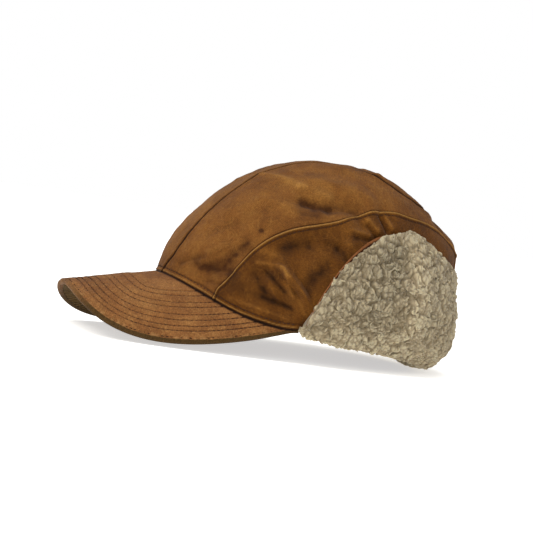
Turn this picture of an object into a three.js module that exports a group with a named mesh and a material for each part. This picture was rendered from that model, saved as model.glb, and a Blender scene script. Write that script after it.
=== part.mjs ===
// Peaked cap of waxed canvas with a fleece-faced ear and neck flap folded up round its back.
// Units are millimetres and +Z is up. The cap is drawn in a frame of its own, with the middle of
// the head opening at the origin, the peak towards -Y and the wearer's left towards +X. A group
// then tips it to the way it rests on a table: on the peak's two side edges and the flap's fold.
import * as THREE from "three";

// Crown: one rounded shell, cut into five canvas panels
const HALF_WIDTH = 82;
const CANVAS = 1.4;
const SEAM_GAP = 0.4;
const FRONT_ROUNDNESS = 1.8;
const TOP_ROUNDNESS = 2.3;

// Middle line of the crown seen from the side. angle goes round from the front (0) over the top
// (90) to the back (180), and reach is the distance from the middle of the opening.
const PROFILE = [
  { angle: -20, reach: 96.5 },
  { angle: 0, reach: 96.9 },
  { angle: 15, reach: 98.3 },
  { angle: 30, reach: 99.0 },
  { angle: 45, reach: 101.8 },
  { angle: 60, reach: 105.9 },
  { angle: 75, reach: 111.2 },
  { angle: 90, reach: 118.1 },
  { angle: 105, reach: 124.0 },
  { angle: 120, reach: 128.0 },
  { angle: 132, reach: 132.6 },
  { angle: 138, reach: 134.5 },
  { angle: 144, reach: 128.6 },
  { angle: 152, reach: 118.6 },
  { angle: 165, reach: 110.4 },
  { angle: 180, reach: 104.0 },
  { angle: 200, reach: 104.0 },
];

// Seams by the same angle: strip is where the centre strip ends and side is where the upper
// panel meets the lower one, both in degrees out from the middle line.
const SEAMS = [
  { angle: -10, strip: 3.4, side: 36.4 },
  { angle: 0, strip: 3.4, side: 36.4 },
  { angle: 6, strip: 4.6, side: 36.8 },
  { angle: 12, strip: 7.6, side: 38.8 },
  { angle: 20, strip: 8.6, side: 39.7 },
  { angle: 35, strip: 8.4, side: 40.8 },
  { angle: 50, strip: 7.2, side: 41.9 },
  { angle: 65, strip: 6.4, side: 43.1 },
  { angle: 75, strip: 6.2, side: 43.1 },
  { angle: 84, strip: 8.4, side: 41.4 },
  { angle: 92, strip: 12.4, side: 37.6 },
  { angle: 100, strip: 16.6, side: 33.8 },
  { angle: 108, strip: 18.6, side: 30.2 },
  { angle: 116, strip: 17.6, side: 26.8 },
  { angle: 124, strip: 14.6, side: 22.0 },
  { angle: 132, strip: 11.8, side: 17.8 },
  { angle: 144, strip: 9.0, side: 14.2 },
  { angle: 160, strip: 7.0, side: 12.0 },
  { angle: 180, strip: 6.0, side: 11.0 },
  { angle: 200, strip: 6.0, side: 11.0 },
];

// Soft folds and dents of the canvas. Each runs from one place on the crown to another, given by
// angle and out as above, and stands out by rise (a dent has a negative rise). wide is its width
// in degrees, and side is 1 for the wearer's left, -1 for the right and 0 for both.
const FOLDS = [
  { angle: 68, out: 32, toAngle: 93, toOut: 35.5, wide: 4.5, rise: -3.4, side: 1 },
  { angle: 74, out: 24, toAngle: 96, toOut: 31, wide: 4.0, rise: 2.2, side: 1 },
  { angle: 10, out: 28, toAngle: 24, toOut: 36, wide: 6.0, rise: -2.4, side: 0 },
  { angle: 30, out: 50, toAngle: 84, toOut: 52, wide: 6.0, rise: -2.6, side: 0 },
  { angle: 41, out: 54, toAngle: 42, toOut: 72, wide: 6.0, rise: 1.8, side: 1 },
  { angle: 16, out: 63, toAngle: 34, toOut: 71, wide: 7.0, rise: -2.2, side: 0 },
  { angle: 97, out: 41, toAngle: 108, toOut: 44, wide: 3.4, rise: -2.4, side: 1 },
  { angle: 104, out: 33, toAngle: 112, toOut: 39, wide: 3.0, rise: -2.0, side: 0 },
  { angle: 90, out: 6, toAngle: 126, toOut: 9, wide: 6.5, rise: -3.0, side: 1 },
  { angle: 90, out: 6, toAngle: 126, toOut: 9, wide: 6.5, rise: -1.6, side: -1 },
  { angle: 88, out: 15, toAngle: 122, toOut: 17, wide: 3.4, rise: 1.4, side: 0 },
  { angle: 60, out: 30, toAngle: 96, toOut: 24, wide: 7.0, rise: -1.8, side: -1 },
  { angle: 20, out: 20, toAngle: 50, toOut: 24, wide: 9.0, rise: 1.0, side: 0 },
];

// Peak: a board bent down at both sides, more tightly towards its outer edge
const PEAK_LENGTH = 64;
const PEAK_DROOP = THREE.MathUtils.degToRad(22.3);
const PEAK_ROOT_HEIGHT = 5.6;
const PEAK_TURN = THREE.MathUtils.degToRad(113.5);
const PEAK_TURN_LENGTH = 165;
const PEAK_CONE = 0.12;
const PEAK_SQUARENESS = 3.3;
const PEAK_END_AZIMUTH = 78.6;
const PEAK_END_WIDTH = 1.6;
const PEAK_TOP_THICKNESS = 1.9;
const PEAK_PLY_GAP = 0.3;
const PEAK_UNDER_THICKNESS = 1.7;
const PEAK_CLEARANCE = 0.4;
const PEAK_SEAT = 3.6;
const BEND_WIDTH = 150;
const OUTLINE_STEPS = 240;

// Lower edge of the crown: it leaves the peak over HEM_BLEND degrees and comes down to the
// opening's level at HEM_LEVEL_AZIMUTH. The lower panels end LOWER_INSET degrees short of the
// side seams' ends there.
const HEM_BLEND = 4;
const HEM_LEVEL_AZIMUTH = 125;
const LOWER_INSET = 2.2;

// Flap: its upper edge on the crown by azimuth, from the temple round to the back
const FLAP_EDGE = [
  { azimuth: 80.4, elevation: 0.6 },
  { azimuth: 81.2, elevation: 6.0 },
  { azimuth: 82.6, elevation: 12.7 },
  { azimuth: 84.6, elevation: 19.4 },
  { azimuth: 87.6, elevation: 26.9 },
  { azimuth: 91.8, elevation: 33.8 },
  { azimuth: 96.8, elevation: 39.2 },
  { azimuth: 101.8, elevation: 42.8 },
  { azimuth: 107.0, elevation: 45.0 },
  { azimuth: 113.0, elevation: 45.6 },
  { azimuth: 126.0, elevation: 45.0 },
  { azimuth: 130.0, elevation: 42.6 },
  { azimuth: 137.0, elevation: 38.8 },
  { azimuth: 143.0, elevation: 35.0 },
  { azimuth: 155.0, elevation: 33.2 },
  { azimuth: 180.0, elevation: 33.0 },
];
const FLAP_CLOTH = 1.2;
const FLAP_CLOTH_GAP = 0.7;
const FLEECE_GAP = 0.5;
const FLAP_LEAST = 3.5;
const PILE_LEAST = 3.4;
const FLAP_FRONT_CROWDING = 0.72;

// Outline of the folded flap from its fold up to its edge. up is the share of its height, stand
// is how far the cloth stands off the crown and pile is how far out the fleece's face is.
const FLAP_SECTION = [
  { up: 0.0, stand: 0.0, pile: 5.6 },
  { up: 0.1, stand: 1.2, pile: 9.8 },
  { up: 0.22, stand: 3.6, pile: 13.2 },
  { up: 0.36, stand: 5.2, pile: 14.8 },
  { up: 0.54, stand: 3.8, pile: 13.2 },
  { up: 0.72, stand: 2.0, pile: 10.6 },
  { up: 0.87, stand: 0.6, pile: 8.0 },
  { up: 0.96, stand: 0.0, pile: 5.6 },
];
const FLAP_FULL_AZIMUTH = 145;
const FLAP_FRONT_SHARE = 0.52;
const FLAP_RIDGE = { azimuth: 127, wide: 7, rise: 2.2 };
const CLOTH_FOOT = 0.012;
const FLEECE_TOP = 0.955;

// The fleece rolls under the rim and ends just inside it
const ROLL_DEPTH = 4.4;
const ROLL_CLEARANCE = 0.7;
const ROLL_OUT = 3.6;
const ROLL_OUT_DEPTH = 3.52;
const LEAF_FOOT = 1.5;
const LEAF_HEIGHT = 4.5;
const LEAF_SLOPE = 1;
const LEAF_THICKNESS = 3.2;

// How the cap rests
const REST_PITCH = THREE.MathUtils.degToRad(10.4);

// Ranges in which edges are looked for: elevation and side angle in degrees, shift in millimetres
const ELEVATIONS = [-30, 60];
const HEM_ANGLES = [-40, 40];
const ROOT_SHIFTS = [-6, 12];

// Reach of the crown that turns a seam's clearance into degrees
const USUAL_REACH = 110;

// Steps of the grids
const STEPS = {
  along: 34,
  strip: 4,
  upper: 7,
  lower: 7,
  peakAcross: 34,
  peakOut: 5,
  flapRound: 52,
};

const COLOURS = {
  strip: 0x855b32,
  upper: 0x855a31,
  lower: 0x6c4a22,
  peakTop: 0x7a4e2c,
  peakUnder: 0x5c452a,
  flapCloth: 0x85552f,
  fleece: 0xc9bda3,
};

const rad = THREE.MathUtils.degToRad;
const deg = THREE.MathUtils.radToDeg;
const { lerp, clamp } = THREE.MathUtils;

// Smooth curve through the rows of a table, with the slope at each row taken from its neighbours.
function read(table, key, value, x) {
  const last = table.length - 1;
  const at = clamp(x, table[0][key], table[last][key]);
  let i = 0;
  while (i < last - 1 && table[i + 1][key] < at) i += 1;
  const slope = (k) => {
    const a = table[Math.max(k - 1, 0)];
    const b = table[Math.min(k + 1, last)];
    return (b[value] - a[value]) / (b[key] - a[key]);
  };
  const width = table[i + 1][key] - table[i][key];
  const t = (at - table[i][key]) / width;
  const t2 = t * t;
  const t3 = t2 * t;
  return (
    (2 * t3 - 3 * t2 + 1) * table[i][value] +
    (t3 - 2 * t2 + t) * width * slope(i) +
    (3 * t2 - 2 * t3) * table[i + 1][value] +
    (t3 - t2) * width * slope(i + 1)
  );
}

// Direction from the middle of the opening by angle round the side view and degrees out from it.
function fanDirection(angle, out) {
  const across = Math.cos(rad(out));
  return new THREE.Vector3(
    Math.sin(rad(out)),
    -Math.cos(rad(angle)) * across,
    Math.sin(rad(angle)) * across,
  );
}

// Direction from the middle of the opening by azimuth (0 at the front) and elevation.
function roundDirection(azimuth, elevation) {
  const level = Math.cos(rad(elevation));
  return new THREE.Vector3(
    Math.sin(rad(azimuth)) * level,
    -Math.cos(rad(azimuth)) * level,
    Math.sin(rad(elevation)),
  );
}

function sideAngle(direction) {
  const angle = deg(Math.atan2(direction.z, -direction.y));
  return angle < -90 ? angle + 360 : angle;
}

// Height of the folds at a direction: each is a soft ridge or dent along a straight line.
function foldRise(direction) {
  const angle = sideAngle(direction);
  const out = deg(Math.asin(clamp(direction.x, -1, 1)));
  let rise = 0;
  for (const fold of FOLDS) {
    if (fold.side * out < 0) continue;
    const da = fold.toAngle - fold.angle;
    const db = fold.toOut - fold.out;
    const pa = angle - fold.angle;
    const pb = Math.abs(out) - fold.out;
    const share = clamp((pa * da + pb * db) / (da * da + db * db), 0, 1);
    const away = Math.hypot(pa - share * da, pb - share * db) / fold.wide;
    rise += fold.rise * Math.exp(-away * away);
  }
  return rise;
}

// Distance from the middle of the opening to the crown's outer face. A superellipse joins the
// half width to the side view's profile, rounder at the front than over the top.
function crownReach(direction) {
  const angle = sideAngle(direction);
  const t = clamp(angle / 90, 0, 1);
  const power = lerp(FRONT_ROUNDNESS, TOP_ROUNDNESS, t * t * (3 - 2 * t));
  const profile = read(PROFILE, "angle", "reach", angle);
  const across = Math.abs(direction.x) / HALF_WIDTH;
  const along = Math.hypot(direction.y, direction.z) / profile;
  return Math.pow(Math.pow(across, power) + Math.pow(along, power), -1 / power);
}

// How far a point lies outside the crown, measured along its own ray.
function outsideCrown(point) {
  const distance = point.length();
  return distance - crownReach(point.clone().divideScalar(distance));
}

function crownNormal(point) {
  const step = 1;
  const slope = (x, y, z) => {
    const shift = new THREE.Vector3(x, y, z);
    const ahead = outsideCrown(point.clone().add(shift));
    return ahead - outsideCrown(point.clone().sub(shift));
  };
  return new THREE.Vector3(slope(step, 0, 0), slope(0, step, 0), slope(0, 0, step)).normalize();
}

// Point on the crown, moved out by offset along its normal. Folds fade where the flap lies.
function crownPoint(direction, offset, folded = true) {
  const point = direction.clone().multiplyScalar(crownReach(direction));
  const rise = folded ? foldRise(direction) : 0;
  return point.addScaledVector(crownNormal(point), offset + rise);
}

// Bend of the peak's board: distance across it against how far out and how far down it is.
const BEND = (() => {
  const step = 0.5;
  const rows = [{ across: 0, x: 0, drop: 0 }];
  const turn = (a) => {
    const t = a / PEAK_TURN_LENGTH;
    return (PEAK_TURN * t) / Math.sqrt(1 + t * t);
  };
  for (let a = 0; a < BEND_WIDTH; a += step) {
    const mid = turn(a + step / 2);
    const row = rows[rows.length - 1];
    rows.push({
      across: a + step,
      x: row.x + Math.cos(mid) * step,
      drop: row.drop + Math.sin(mid) * step,
    });
  }
  return rows;
})();

function linear(table, key, value, x) {
  let low = 0;
  let high = table.length - 1;
  while (high - low > 1) {
    const mid = (low + high) >> 1;
    if (table[mid][key] < x) low = mid;
    else high = mid;
  }
  const t = (x - table[low][key]) / (table[high][key] - table[low][key]);
  return lerp(table[low][value], table[high][value], t);
}

// Board axes: forward along the middle line and up square to it
const BOARD_ROOT = new THREE.Vector3(0, -crownReach(fanDirection(0, 0)), PEAK_ROOT_HEIGHT);
const BOARD_FORWARD = new THREE.Vector3(0, -Math.cos(PEAK_DROOP), -Math.sin(PEAK_DROOP));
const BOARD_UP = new THREE.Vector3(0, -Math.sin(PEAK_DROOP), Math.cos(PEAK_DROOP));
const PEAK_UNIT = 60;

function coneScale(forward) {
  return 1 + (PEAK_CONE * forward) / PEAK_UNIT;
}

// Point of the peak by distance across the flat board, distance forward and depth below its top.
function boardPoint(across, forward, depth) {
  const k = coneScale(forward);
  const a = Math.abs(across) * k;
  const side = Math.sign(across);
  const x = linear(BEND, "across", "x", a) / k;
  const drop = linear(BEND, "across", "drop", a) / k;
  const t = a / PEAK_TURN_LENGTH;
  const turn = (PEAK_TURN * t) / Math.sqrt(1 + t * t);
  return BOARD_ROOT.clone()
    .addScaledVector(BOARD_FORWARD, forward)
    .addScaledVector(BOARD_UP, -drop - depth * Math.cos(turn))
    .add(new THREE.Vector3(side * (x - depth * Math.sin(turn)), 0, 0));
}

// Height of a point above the board's top face, and its place on the flat board.
function overBoard(point) {
  const from = point.clone().sub(BOARD_ROOT);
  const forward = from.dot(BOARD_FORWARD);
  const k = coneScale(forward);
  const x = Math.abs(from.x) * k;
  const across = (linear(BEND, "x", "across", x) / k) * Math.sign(from.x);
  const height = from.dot(BOARD_UP) + linear(BEND, "x", "drop", x) / k;
  return { height, across, forward };
}

// Value within a range where test turns from false to true.
function solve([low, high], test) {
  let a = low;
  let b = high;
  for (let i = 0; i < 30; i += 1) {
    const mid = (a + b) / 2;
    if (test(mid)) b = mid;
    else a = mid;
  }
  return (a + b) / 2;
}

const onCrown = (direction) => direction.clone().multiplyScalar(crownReach(direction));

// Elevation at which the crown's outer face is so far above the board, at an azimuth.
function boardElevation(azimuth, above) {
  const at = (e) => overBoard(onCrown(roundDirection(azimuth, e)));
  return solve(ELEVATIONS, (e) => at(e).height > above);
}

function elevationAtHeight(azimuth, height) {
  return solve(ELEVATIONS, (e) => onCrown(roundDirection(azimuth, e)).z > height);
}

// Lower edge of the crown: seated on the peak's depth in front, then level behind it.
const END_HEIGHT = onCrown(
  roundDirection(PEAK_END_AZIMUTH, boardElevation(PEAK_END_AZIMUTH, 0)),
).z;

function hemHeight(azimuth) {
  const past = (Math.abs(azimuth) - PEAK_END_AZIMUTH) / (HEM_LEVEL_AZIMUTH - PEAK_END_AZIMUTH);
  const t = clamp(past, 0, 1);
  return lerp(END_HEIGHT, 0, t * t * (3 - 2 * t));
}

function hemElevation(azimuth) {
  const seated = boardElevation(azimuth, -PEAK_SEAT);
  const leave = PEAK_END_AZIMUTH - HEM_BLEND;
  if (Math.abs(azimuth) <= leave) return seated;
  const level = elevationAtHeight(azimuth, hemHeight(azimuth));
  return lerp(seated, level, clamp((Math.abs(azimuth) - leave) / HEM_BLEND, 0, 1));
}

// Angle at which a line over the crown, given as degrees out by angle, starts at its front edge.
function hemAngle(outAt) {
  const onCap = (angle) => {
    const direction = fanDirection(angle, outAt(angle));
    return overBoard(onCrown(direction)).height > -PEAK_SEAT;
  };
  return solve(HEM_ANGLES, onCap);
}

// Closed body between two grids of points, the first of them the outer face. Rows run along the
// first index and columns along the second, and the rows and columns turn to the right outwards.
function shellGeometry(outer, inner) {
  const rows = outer.length;
  const columns = outer[0].length;
  const points = [...outer.flat(), ...inner.flat()];
  const index = [];
  const at = (face, i, j) => face * rows * columns + i * columns + j;
  const quad = (a, b, c, d) => index.push(a, b, c, a, c, d);
  for (let i = 0; i < rows - 1; i += 1) {
    for (let j = 0; j < columns - 1; j += 1) {
      quad(at(0, i, j), at(0, i + 1, j), at(0, i + 1, j + 1), at(0, i, j + 1));
      quad(at(1, i, j), at(1, i, j + 1), at(1, i + 1, j + 1), at(1, i + 1, j));
    }
  }
  for (let i = 0; i < rows - 1; i += 1) {
    const far = columns - 1;
    quad(at(0, i, 0), at(1, i, 0), at(1, i + 1, 0), at(0, i + 1, 0));
    quad(at(0, i + 1, far), at(1, i + 1, far), at(1, i, far), at(0, i, far));
  }
  for (let j = 0; j < columns - 1; j += 1) {
    const end = rows - 1;
    quad(at(0, 0, j + 1), at(1, 0, j + 1), at(1, 0, j), at(0, 0, j));
    quad(at(0, end, j), at(1, end, j), at(1, end, j + 1), at(0, end, j + 1));
  }
  return facing(points, index);
}

// Closed body swept through rings of points, with its two ends capped by a fan.
function sweptGeometry(rings) {
  const count = rings[0].length;
  const points = rings.flat();
  const index = [];
  for (let i = 0; i < rings.length - 1; i += 1) {
    for (let j = 0; j < count; j += 1) {
      const k = (j + 1) % count;
      const a = i * count;
      const b = a + count;
      index.push(a + j, b + j, a + k, b + j, b + k, a + k);
    }
  }
  for (const [ring, turned] of [
    [0, true],
    [rings.length - 1, false],
  ]) {
    const flat = flatten(rings[ring]);
    for (const [a, b, c] of THREE.ShapeUtils.triangulateShape(flat, [])) {
      const start = ring * count;
      if (turned) index.push(start + a, start + b, start + c);
      else index.push(start + c, start + b, start + a);
    }
  }
  return facing(points, index);
}

// A ring seen square to its own azimuth, turned anticlockwise for the triangulation.
function flatten(ring) {
  const middle = new THREE.Vector3();
  for (const p of ring) middle.add(p);
  const level = Math.hypot(middle.x, middle.y);
  return ring.map((p) => new THREE.Vector2((p.x * middle.x + p.y * middle.y) / level, p.z));
}

// Geometry from points and triangles, turned over if its faces point inwards.
function facing(points, index) {
  let volume = 0;
  for (let i = 0; i < index.length; i += 3) {
    const [a, b, c] = [points[index[i]], points[index[i + 1]], points[index[i + 2]]];
    volume += a.dot(b.clone().cross(c));
  }
  if (volume < 0) index.reverse();
  const geometry = new THREE.BufferGeometry();
  geometry.setFromPoints(points);
  geometry.setIndex(index);
  geometry.computeVertexNormals();
  return geometry;
}

function piece(name, geometry, color) {
  const material = new THREE.MeshStandardMaterial({ color, roughness: 0.85, metalness: 0 });
  const mesh = new THREE.Mesh(geometry, material);
  mesh.name = name;
  return mesh;
}

const shares = (count) => Array.from({ length: count + 1 }, (_, i) => i / count);

// Panel between two lines that run from the front edge over the crown to the back edge. from and
// to give degrees out by angle, and both faces of the wall share their directions.
function fanPanel(from, to, columns) {
  const grid = (offset) =>
    shares(columns).map((v) => {
      const outAt = (angle) => lerp(from(angle), to(angle), v);
      const start = hemAngle(outAt);
      return shares(STEPS.along).map((u) => {
        const angle = lerp(start, 180, u);
        return crownPoint(fanDirection(angle, outAt(angle)), offset);
      });
    });
  return shellGeometry(grid(0), grid(-CANVAS));
}

const seam = (name) => (angle) => read(SEAMS, "angle", name, angle);

// Degrees out that half a seam's clearance takes up.
const HALF_SEAM = deg(SEAM_GAP / 2 / USUAL_REACH);

function centreStrip() {
  const edge = (side) => (angle) => side * (seam("strip")(angle) - HALF_SEAM);
  return fanPanel(edge(-1), edge(1), STEPS.strip);
}

function upperPanel(side) {
  const inner = (angle) => side * (seam("strip")(angle) + HALF_SEAM);
  const outer = (angle) => side * (seam("side")(angle) - HALF_SEAM);
  return fanPanel(inner, outer, STEPS.upper);
}

// Half-moon panel between the side seam and the crown's lower edge.
function lowerPanel(side) {
  const top = (angle) => side * (seam("side")(angle) + HALF_SEAM);
  const start = hemAngle(top);
  const first = fanDirection(start, top(start));
  const last = fanDirection(180, top(180));
  const azimuthOf = (d) => deg(Math.atan2(d.x, -d.y));
  const front = azimuthOf(first) + side * LOWER_INSET;
  const back = azimuthOf(last) - side * LOWER_INSET;
  const grid = (offset) =>
    shares(STEPS.lower).map((v) =>
      shares(STEPS.along).map((u) => {
        const angle = lerp(start, 180, u);
        const high = fanDirection(angle, top(angle));
        const azimuth = lerp(front, back, u);
        const low = roundDirection(azimuth, hemElevation(azimuth));
        return crownPoint(high.lerp(low, v).normalize(), offset);
      }),
    );
  return shellGeometry(grid(0), grid(-CANVAS));
}

// Outer edge of the flat board, a superellipse from one end of the peak round to the other.
function peakOutline(share) {
  const end = peakRoot(1, 0);
  const across = Math.abs(end.across) + PEAK_END_WIDTH;
  const power = 2 / PEAK_SQUARENESS;
  const line = [];
  let length = 0;
  for (let i = 0; i <= OUTLINE_STEPS; i += 1) {
    const t = (i / OUTLINE_STEPS) * (Math.PI / 2);
    const row = {
      across: across * Math.pow(Math.sin(t), power),
      forward: lerp(end.forward, PEAK_LENGTH, Math.pow(Math.max(Math.cos(t), 0), power)),
    };
    if (i > 0) {
      const before = line[i - 1];
      length += Math.hypot(row.across - before.across, row.forward - before.forward);
    }
    line.push({ ...row, length });
  }
  const at = Math.abs(share) * length;
  return {
    across: linear(line, "length", "across", at) * Math.sign(share),
    forward: linear(line, "length", "forward", at),
  };
}

// Where the board at a depth meets the crown, by share of the way from the middle to one end.
function peakRoot(share, depth) {
  const azimuth = share * PEAK_END_AZIMUTH;
  const top = overBoard(onCrown(roundDirection(azimuth, boardElevation(azimuth, 0))));
  const out = Math.sin(rad(azimuth));
  const forward = Math.cos(rad(azimuth));
  const shift = solve(ROOT_SHIFTS, (t) => {
    const p = boardPoint(top.across + t * out, top.forward + t * forward, depth);
    return outsideCrown(p) > PEAK_CLEARANCE;
  });
  return { across: top.across + shift * out, forward: top.forward + shift * forward };
}

function peakPly(topDepth, underDepth) {
  const half = STEPS.peakAcross / 2;
  const grid = (depth) =>
    shares(STEPS.peakAcross).map((u, i) => {
      const share = (i - half) / half;
      const root = peakRoot(share, depth);
      const edge = peakOutline(share);
      return shares(STEPS.peakOut).map((v) =>
        boardPoint(lerp(root.across, edge.across, v), lerp(root.forward, edge.forward, v), depth),
      );
    });
  return shellGeometry(grid(topDepth), grid(underDepth));
}

// Stations of the flap round the cap, closer together along its sloping front edges.
function flapAzimuths() {
  const front = FLAP_EDGE[0].azimuth;
  return shares(STEPS.flapRound).map((u) => {
    const side = 2 * Math.abs(u - 0.5);
    const share = Math.pow(side, FLAP_FRONT_CROWDING);
    const azimuth = lerp(180, front, share);
    return u < 0.5 ? azimuth : 360 - azimuth;
  });
}

const foldedAzimuth = (azimuth) => (azimuth > 180 ? 360 - azimuth : azimuth);

// How full the flap stands at an azimuth: flatter towards its front ends, with a soft ridge
// where the ear part passes into the neck part.
function flapFullness(azimuth) {
  const a = foldedAzimuth(azimuth);
  const t = clamp((a - FLAP_EDGE[0].azimuth) / (FLAP_FULL_AZIMUTH - FLAP_EDGE[0].azimuth), 0, 1);
  return lerp(FLAP_FRONT_SHARE, 1, t * t * (3 - 2 * t));
}

function flapRidge(azimuth, up) {
  const away = (foldedAzimuth(azimuth) - FLAP_RIDGE.azimuth) / FLAP_RIDGE.wide;
  return FLAP_RIDGE.rise * Math.exp(-away * away) * Math.sin(Math.PI * clamp(up, 0, 1));
}

// Point on the flap by azimuth, share of its height and distance out from the crown.
function flapPoint(azimuth, up, offset, below = 0) {
  const a = foldedAzimuth(azimuth);
  const low = elevationAtHeight(azimuth, hemHeight(a));
  const high = Math.max(read(FLAP_EDGE, "azimuth", "elevation", a), low + FLAP_LEAST);
  const point = crownPoint(roundDirection(azimuth, lerp(low, high, up)), offset, false);
  point.z -= below;
  return point;
}

// Both faces of the flap share these heights between their own ends.
const middleShares = FLAP_SECTION.slice(1, -1).map((row) => row.up);

function clothStand(azimuth, up) {
  const stand = read(FLAP_SECTION, "up", "stand", up) * flapFullness(azimuth);
  return FLAP_CLOTH_GAP + stand + flapRidge(azimuth, up);
}

function flapCloth() {
  const heights = [CLOTH_FOOT, ...middleShares, 1];
  const grid = (thickness) =>
    heights.map((up) =>
      flapAzimuths().map((a) => flapPoint(a, up, clothStand(a, up) + thickness)),
    );
  return shellGeometry(grid(FLAP_CLOTH), grid(0));
}

// Fleece: its face from the fold up to just short of the cloth's edge, its back against the
// cloth, and the roll under the rim to the leaf inside.
function fleece() {
  const lift = FLAP_CLOTH + FLEECE_GAP;
  const inside = -CANVAS - ROLL_CLEARANCE;
  const backShares = [FLEECE_TOP, ...middleShares.slice().reverse()];
  const rings = flapAzimuths().map((azimuth) => {
    const full = flapFullness(azimuth);
    const face = FLAP_SECTION.map(({ up, pile }) =>
      flapPoint(azimuth, up, Math.max(pile * full, PILE_LEAST) + flapRidge(azimuth, up)),
    );
    const back = backShares.map((up) => flapPoint(azimuth, up, clothStand(azimuth, up) + lift));
    const roll = [
      flapPoint(azimuth, 0, FLAP_CLOTH_GAP + lift, ROLL_CLEARANCE),
      flapPoint(azimuth, 0, inside, ROLL_CLEARANCE),
      flapPoint(azimuth, 0, inside, -LEAF_HEIGHT),
      flapPoint(azimuth, 0, inside - LEAF_THICKNESS, LEAF_SLOPE - LEAF_HEIGHT),
      flapPoint(azimuth, 0, inside - LEAF_THICKNESS, LEAF_FOOT),
      flapPoint(azimuth, 0, inside / 2, ROLL_DEPTH),
      flapPoint(azimuth, 0, ROLL_OUT * full, ROLL_OUT_DEPTH),
    ];
    return [...face, ...back, ...roll];
  });
  return sweptGeometry(rings);
}

const cap = new THREE.Group();
cap.add(piece("centre_strip", centreStrip(), COLOURS.strip));
for (const [name, side] of [
  ["left", 1],
  ["right", -1],
]) {
  cap.add(piece(`upper_panel_${name}`, upperPanel(side), COLOURS.upper));
  cap.add(piece(`lower_panel_${name}`, lowerPanel(side), COLOURS.lower));
}
const UNDER_DEPTH = PEAK_TOP_THICKNESS + PEAK_PLY_GAP;
cap.add(piece("peak_top", peakPly(0, PEAK_TOP_THICKNESS), COLOURS.peakTop));
cap.add(
  piece("peak_under", peakPly(UNDER_DEPTH, UNDER_DEPTH + PEAK_UNDER_THICKNESS), COLOURS.peakUnder),
);
cap.add(piece("flap_cloth", flapCloth(), COLOURS.flapCloth));
cap.add(piece("flap_fleece", fleece(), COLOURS.fleece));

// Tip the cap to its rest and press the fleece flat on the plane that the peak's edges stand on.
function restHeight(point) {
  return -point.y * Math.sin(REST_PITCH) + point.z * Math.cos(REST_PITCH);
}

function vertices(mesh) {
  const position = mesh.geometry.getAttribute("position");
  return shares(position.count - 1).map((_, i) =>
    new THREE.Vector3().fromBufferAttribute(position, i),
  );
}

const floorHeight = Math.min(...vertices(cap.getObjectByName("peak_under")).map(restHeight));

function pressFlat(mesh) {
  const position = mesh.geometry.getAttribute("position");
  vertices(mesh).forEach((p, i) => {
    const under = floorHeight - restHeight(p);
    if (under <= 0) return;
    p.y -= under * Math.sin(REST_PITCH);
    p.z += under * Math.cos(REST_PITCH);
    position.setXYZ(i, p.x, p.y, p.z);
  });
}

pressFlat(cap.getObjectByName("flap_fleece"));

cap.rotation.x = -REST_PITCH;
const part = new THREE.Group();
part.add(cap);
part.updateMatrixWorld(true);
const bounds = new THREE.Box3().setFromObject(part, true);
const centre = bounds.getCenter(new THREE.Vector3());
cap.position.set(-centre.x, -centre.y, -floorHeight);

export default part;
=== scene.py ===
# %% [markdown]
# # A waxed canvas cap with a folded-up fleece flap
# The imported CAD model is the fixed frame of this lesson. Every piece below is a finer surface over
# one of its solids: the same formulas, with the seams, folds, stitches and pile that cloth has.

# %% Load the frame
import math

import bpy
import numpy as np
from mathutils import Matrix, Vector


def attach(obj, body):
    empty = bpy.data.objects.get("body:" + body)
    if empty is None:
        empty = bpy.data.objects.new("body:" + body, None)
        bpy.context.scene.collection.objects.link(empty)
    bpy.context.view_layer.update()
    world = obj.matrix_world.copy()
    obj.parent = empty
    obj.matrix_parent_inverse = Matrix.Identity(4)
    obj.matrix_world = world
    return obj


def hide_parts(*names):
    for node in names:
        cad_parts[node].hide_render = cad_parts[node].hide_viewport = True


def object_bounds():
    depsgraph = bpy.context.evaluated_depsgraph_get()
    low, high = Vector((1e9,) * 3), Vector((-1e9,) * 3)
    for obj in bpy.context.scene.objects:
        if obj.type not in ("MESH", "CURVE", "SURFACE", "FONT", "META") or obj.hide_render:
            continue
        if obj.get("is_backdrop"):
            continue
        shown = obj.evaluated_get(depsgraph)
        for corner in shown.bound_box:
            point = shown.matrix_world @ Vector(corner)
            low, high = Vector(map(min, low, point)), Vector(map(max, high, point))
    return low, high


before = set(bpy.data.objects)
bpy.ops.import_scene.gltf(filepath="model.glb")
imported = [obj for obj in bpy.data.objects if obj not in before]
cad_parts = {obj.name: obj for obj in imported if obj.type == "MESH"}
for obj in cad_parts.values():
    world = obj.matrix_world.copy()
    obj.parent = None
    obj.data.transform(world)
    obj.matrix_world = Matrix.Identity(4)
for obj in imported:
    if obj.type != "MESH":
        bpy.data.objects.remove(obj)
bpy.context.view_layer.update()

rng = np.random.default_rng(58)

# %% [markdown]
# ## One frame for all the formulas
# The cap is drawn the way it was cut: millimetres from the middle of the head opening, the peak
# towards -Y and the wearer's left towards +X. It rests tipped on a table, so one function turns
# its points to the frame that the solids are in. Tables hold the shapes, read as smooth curves.

# %% From the cap's frame to the solids' frame
# The pitch at which the cap rests by itself, and where that puts the middle of its opening
REST_PITCH = math.radians(10.4)
REST_SHIFT = np.array([0.0, 16.452330, 21.800781])


def tip(vectors):
    """Turns vectors of the cap's own frame to the way it rests: a pitch about the X axis."""
    x, y, z = np.moveaxis(np.asarray(vectors, float), -1, 0)
    c, s = math.cos(REST_PITCH), math.sin(REST_PITCH)
    return np.stack([x, y * c + z * s, z * c - y * s], -1)


def to_row(points):
    """Points of the cap's own frame in millimetres, in the row frame in metres."""
    return (tip(points) + REST_SHIFT) / 1000


print("middle of the opening, in metres:", to_row(np.zeros(3)).round(4))


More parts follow.
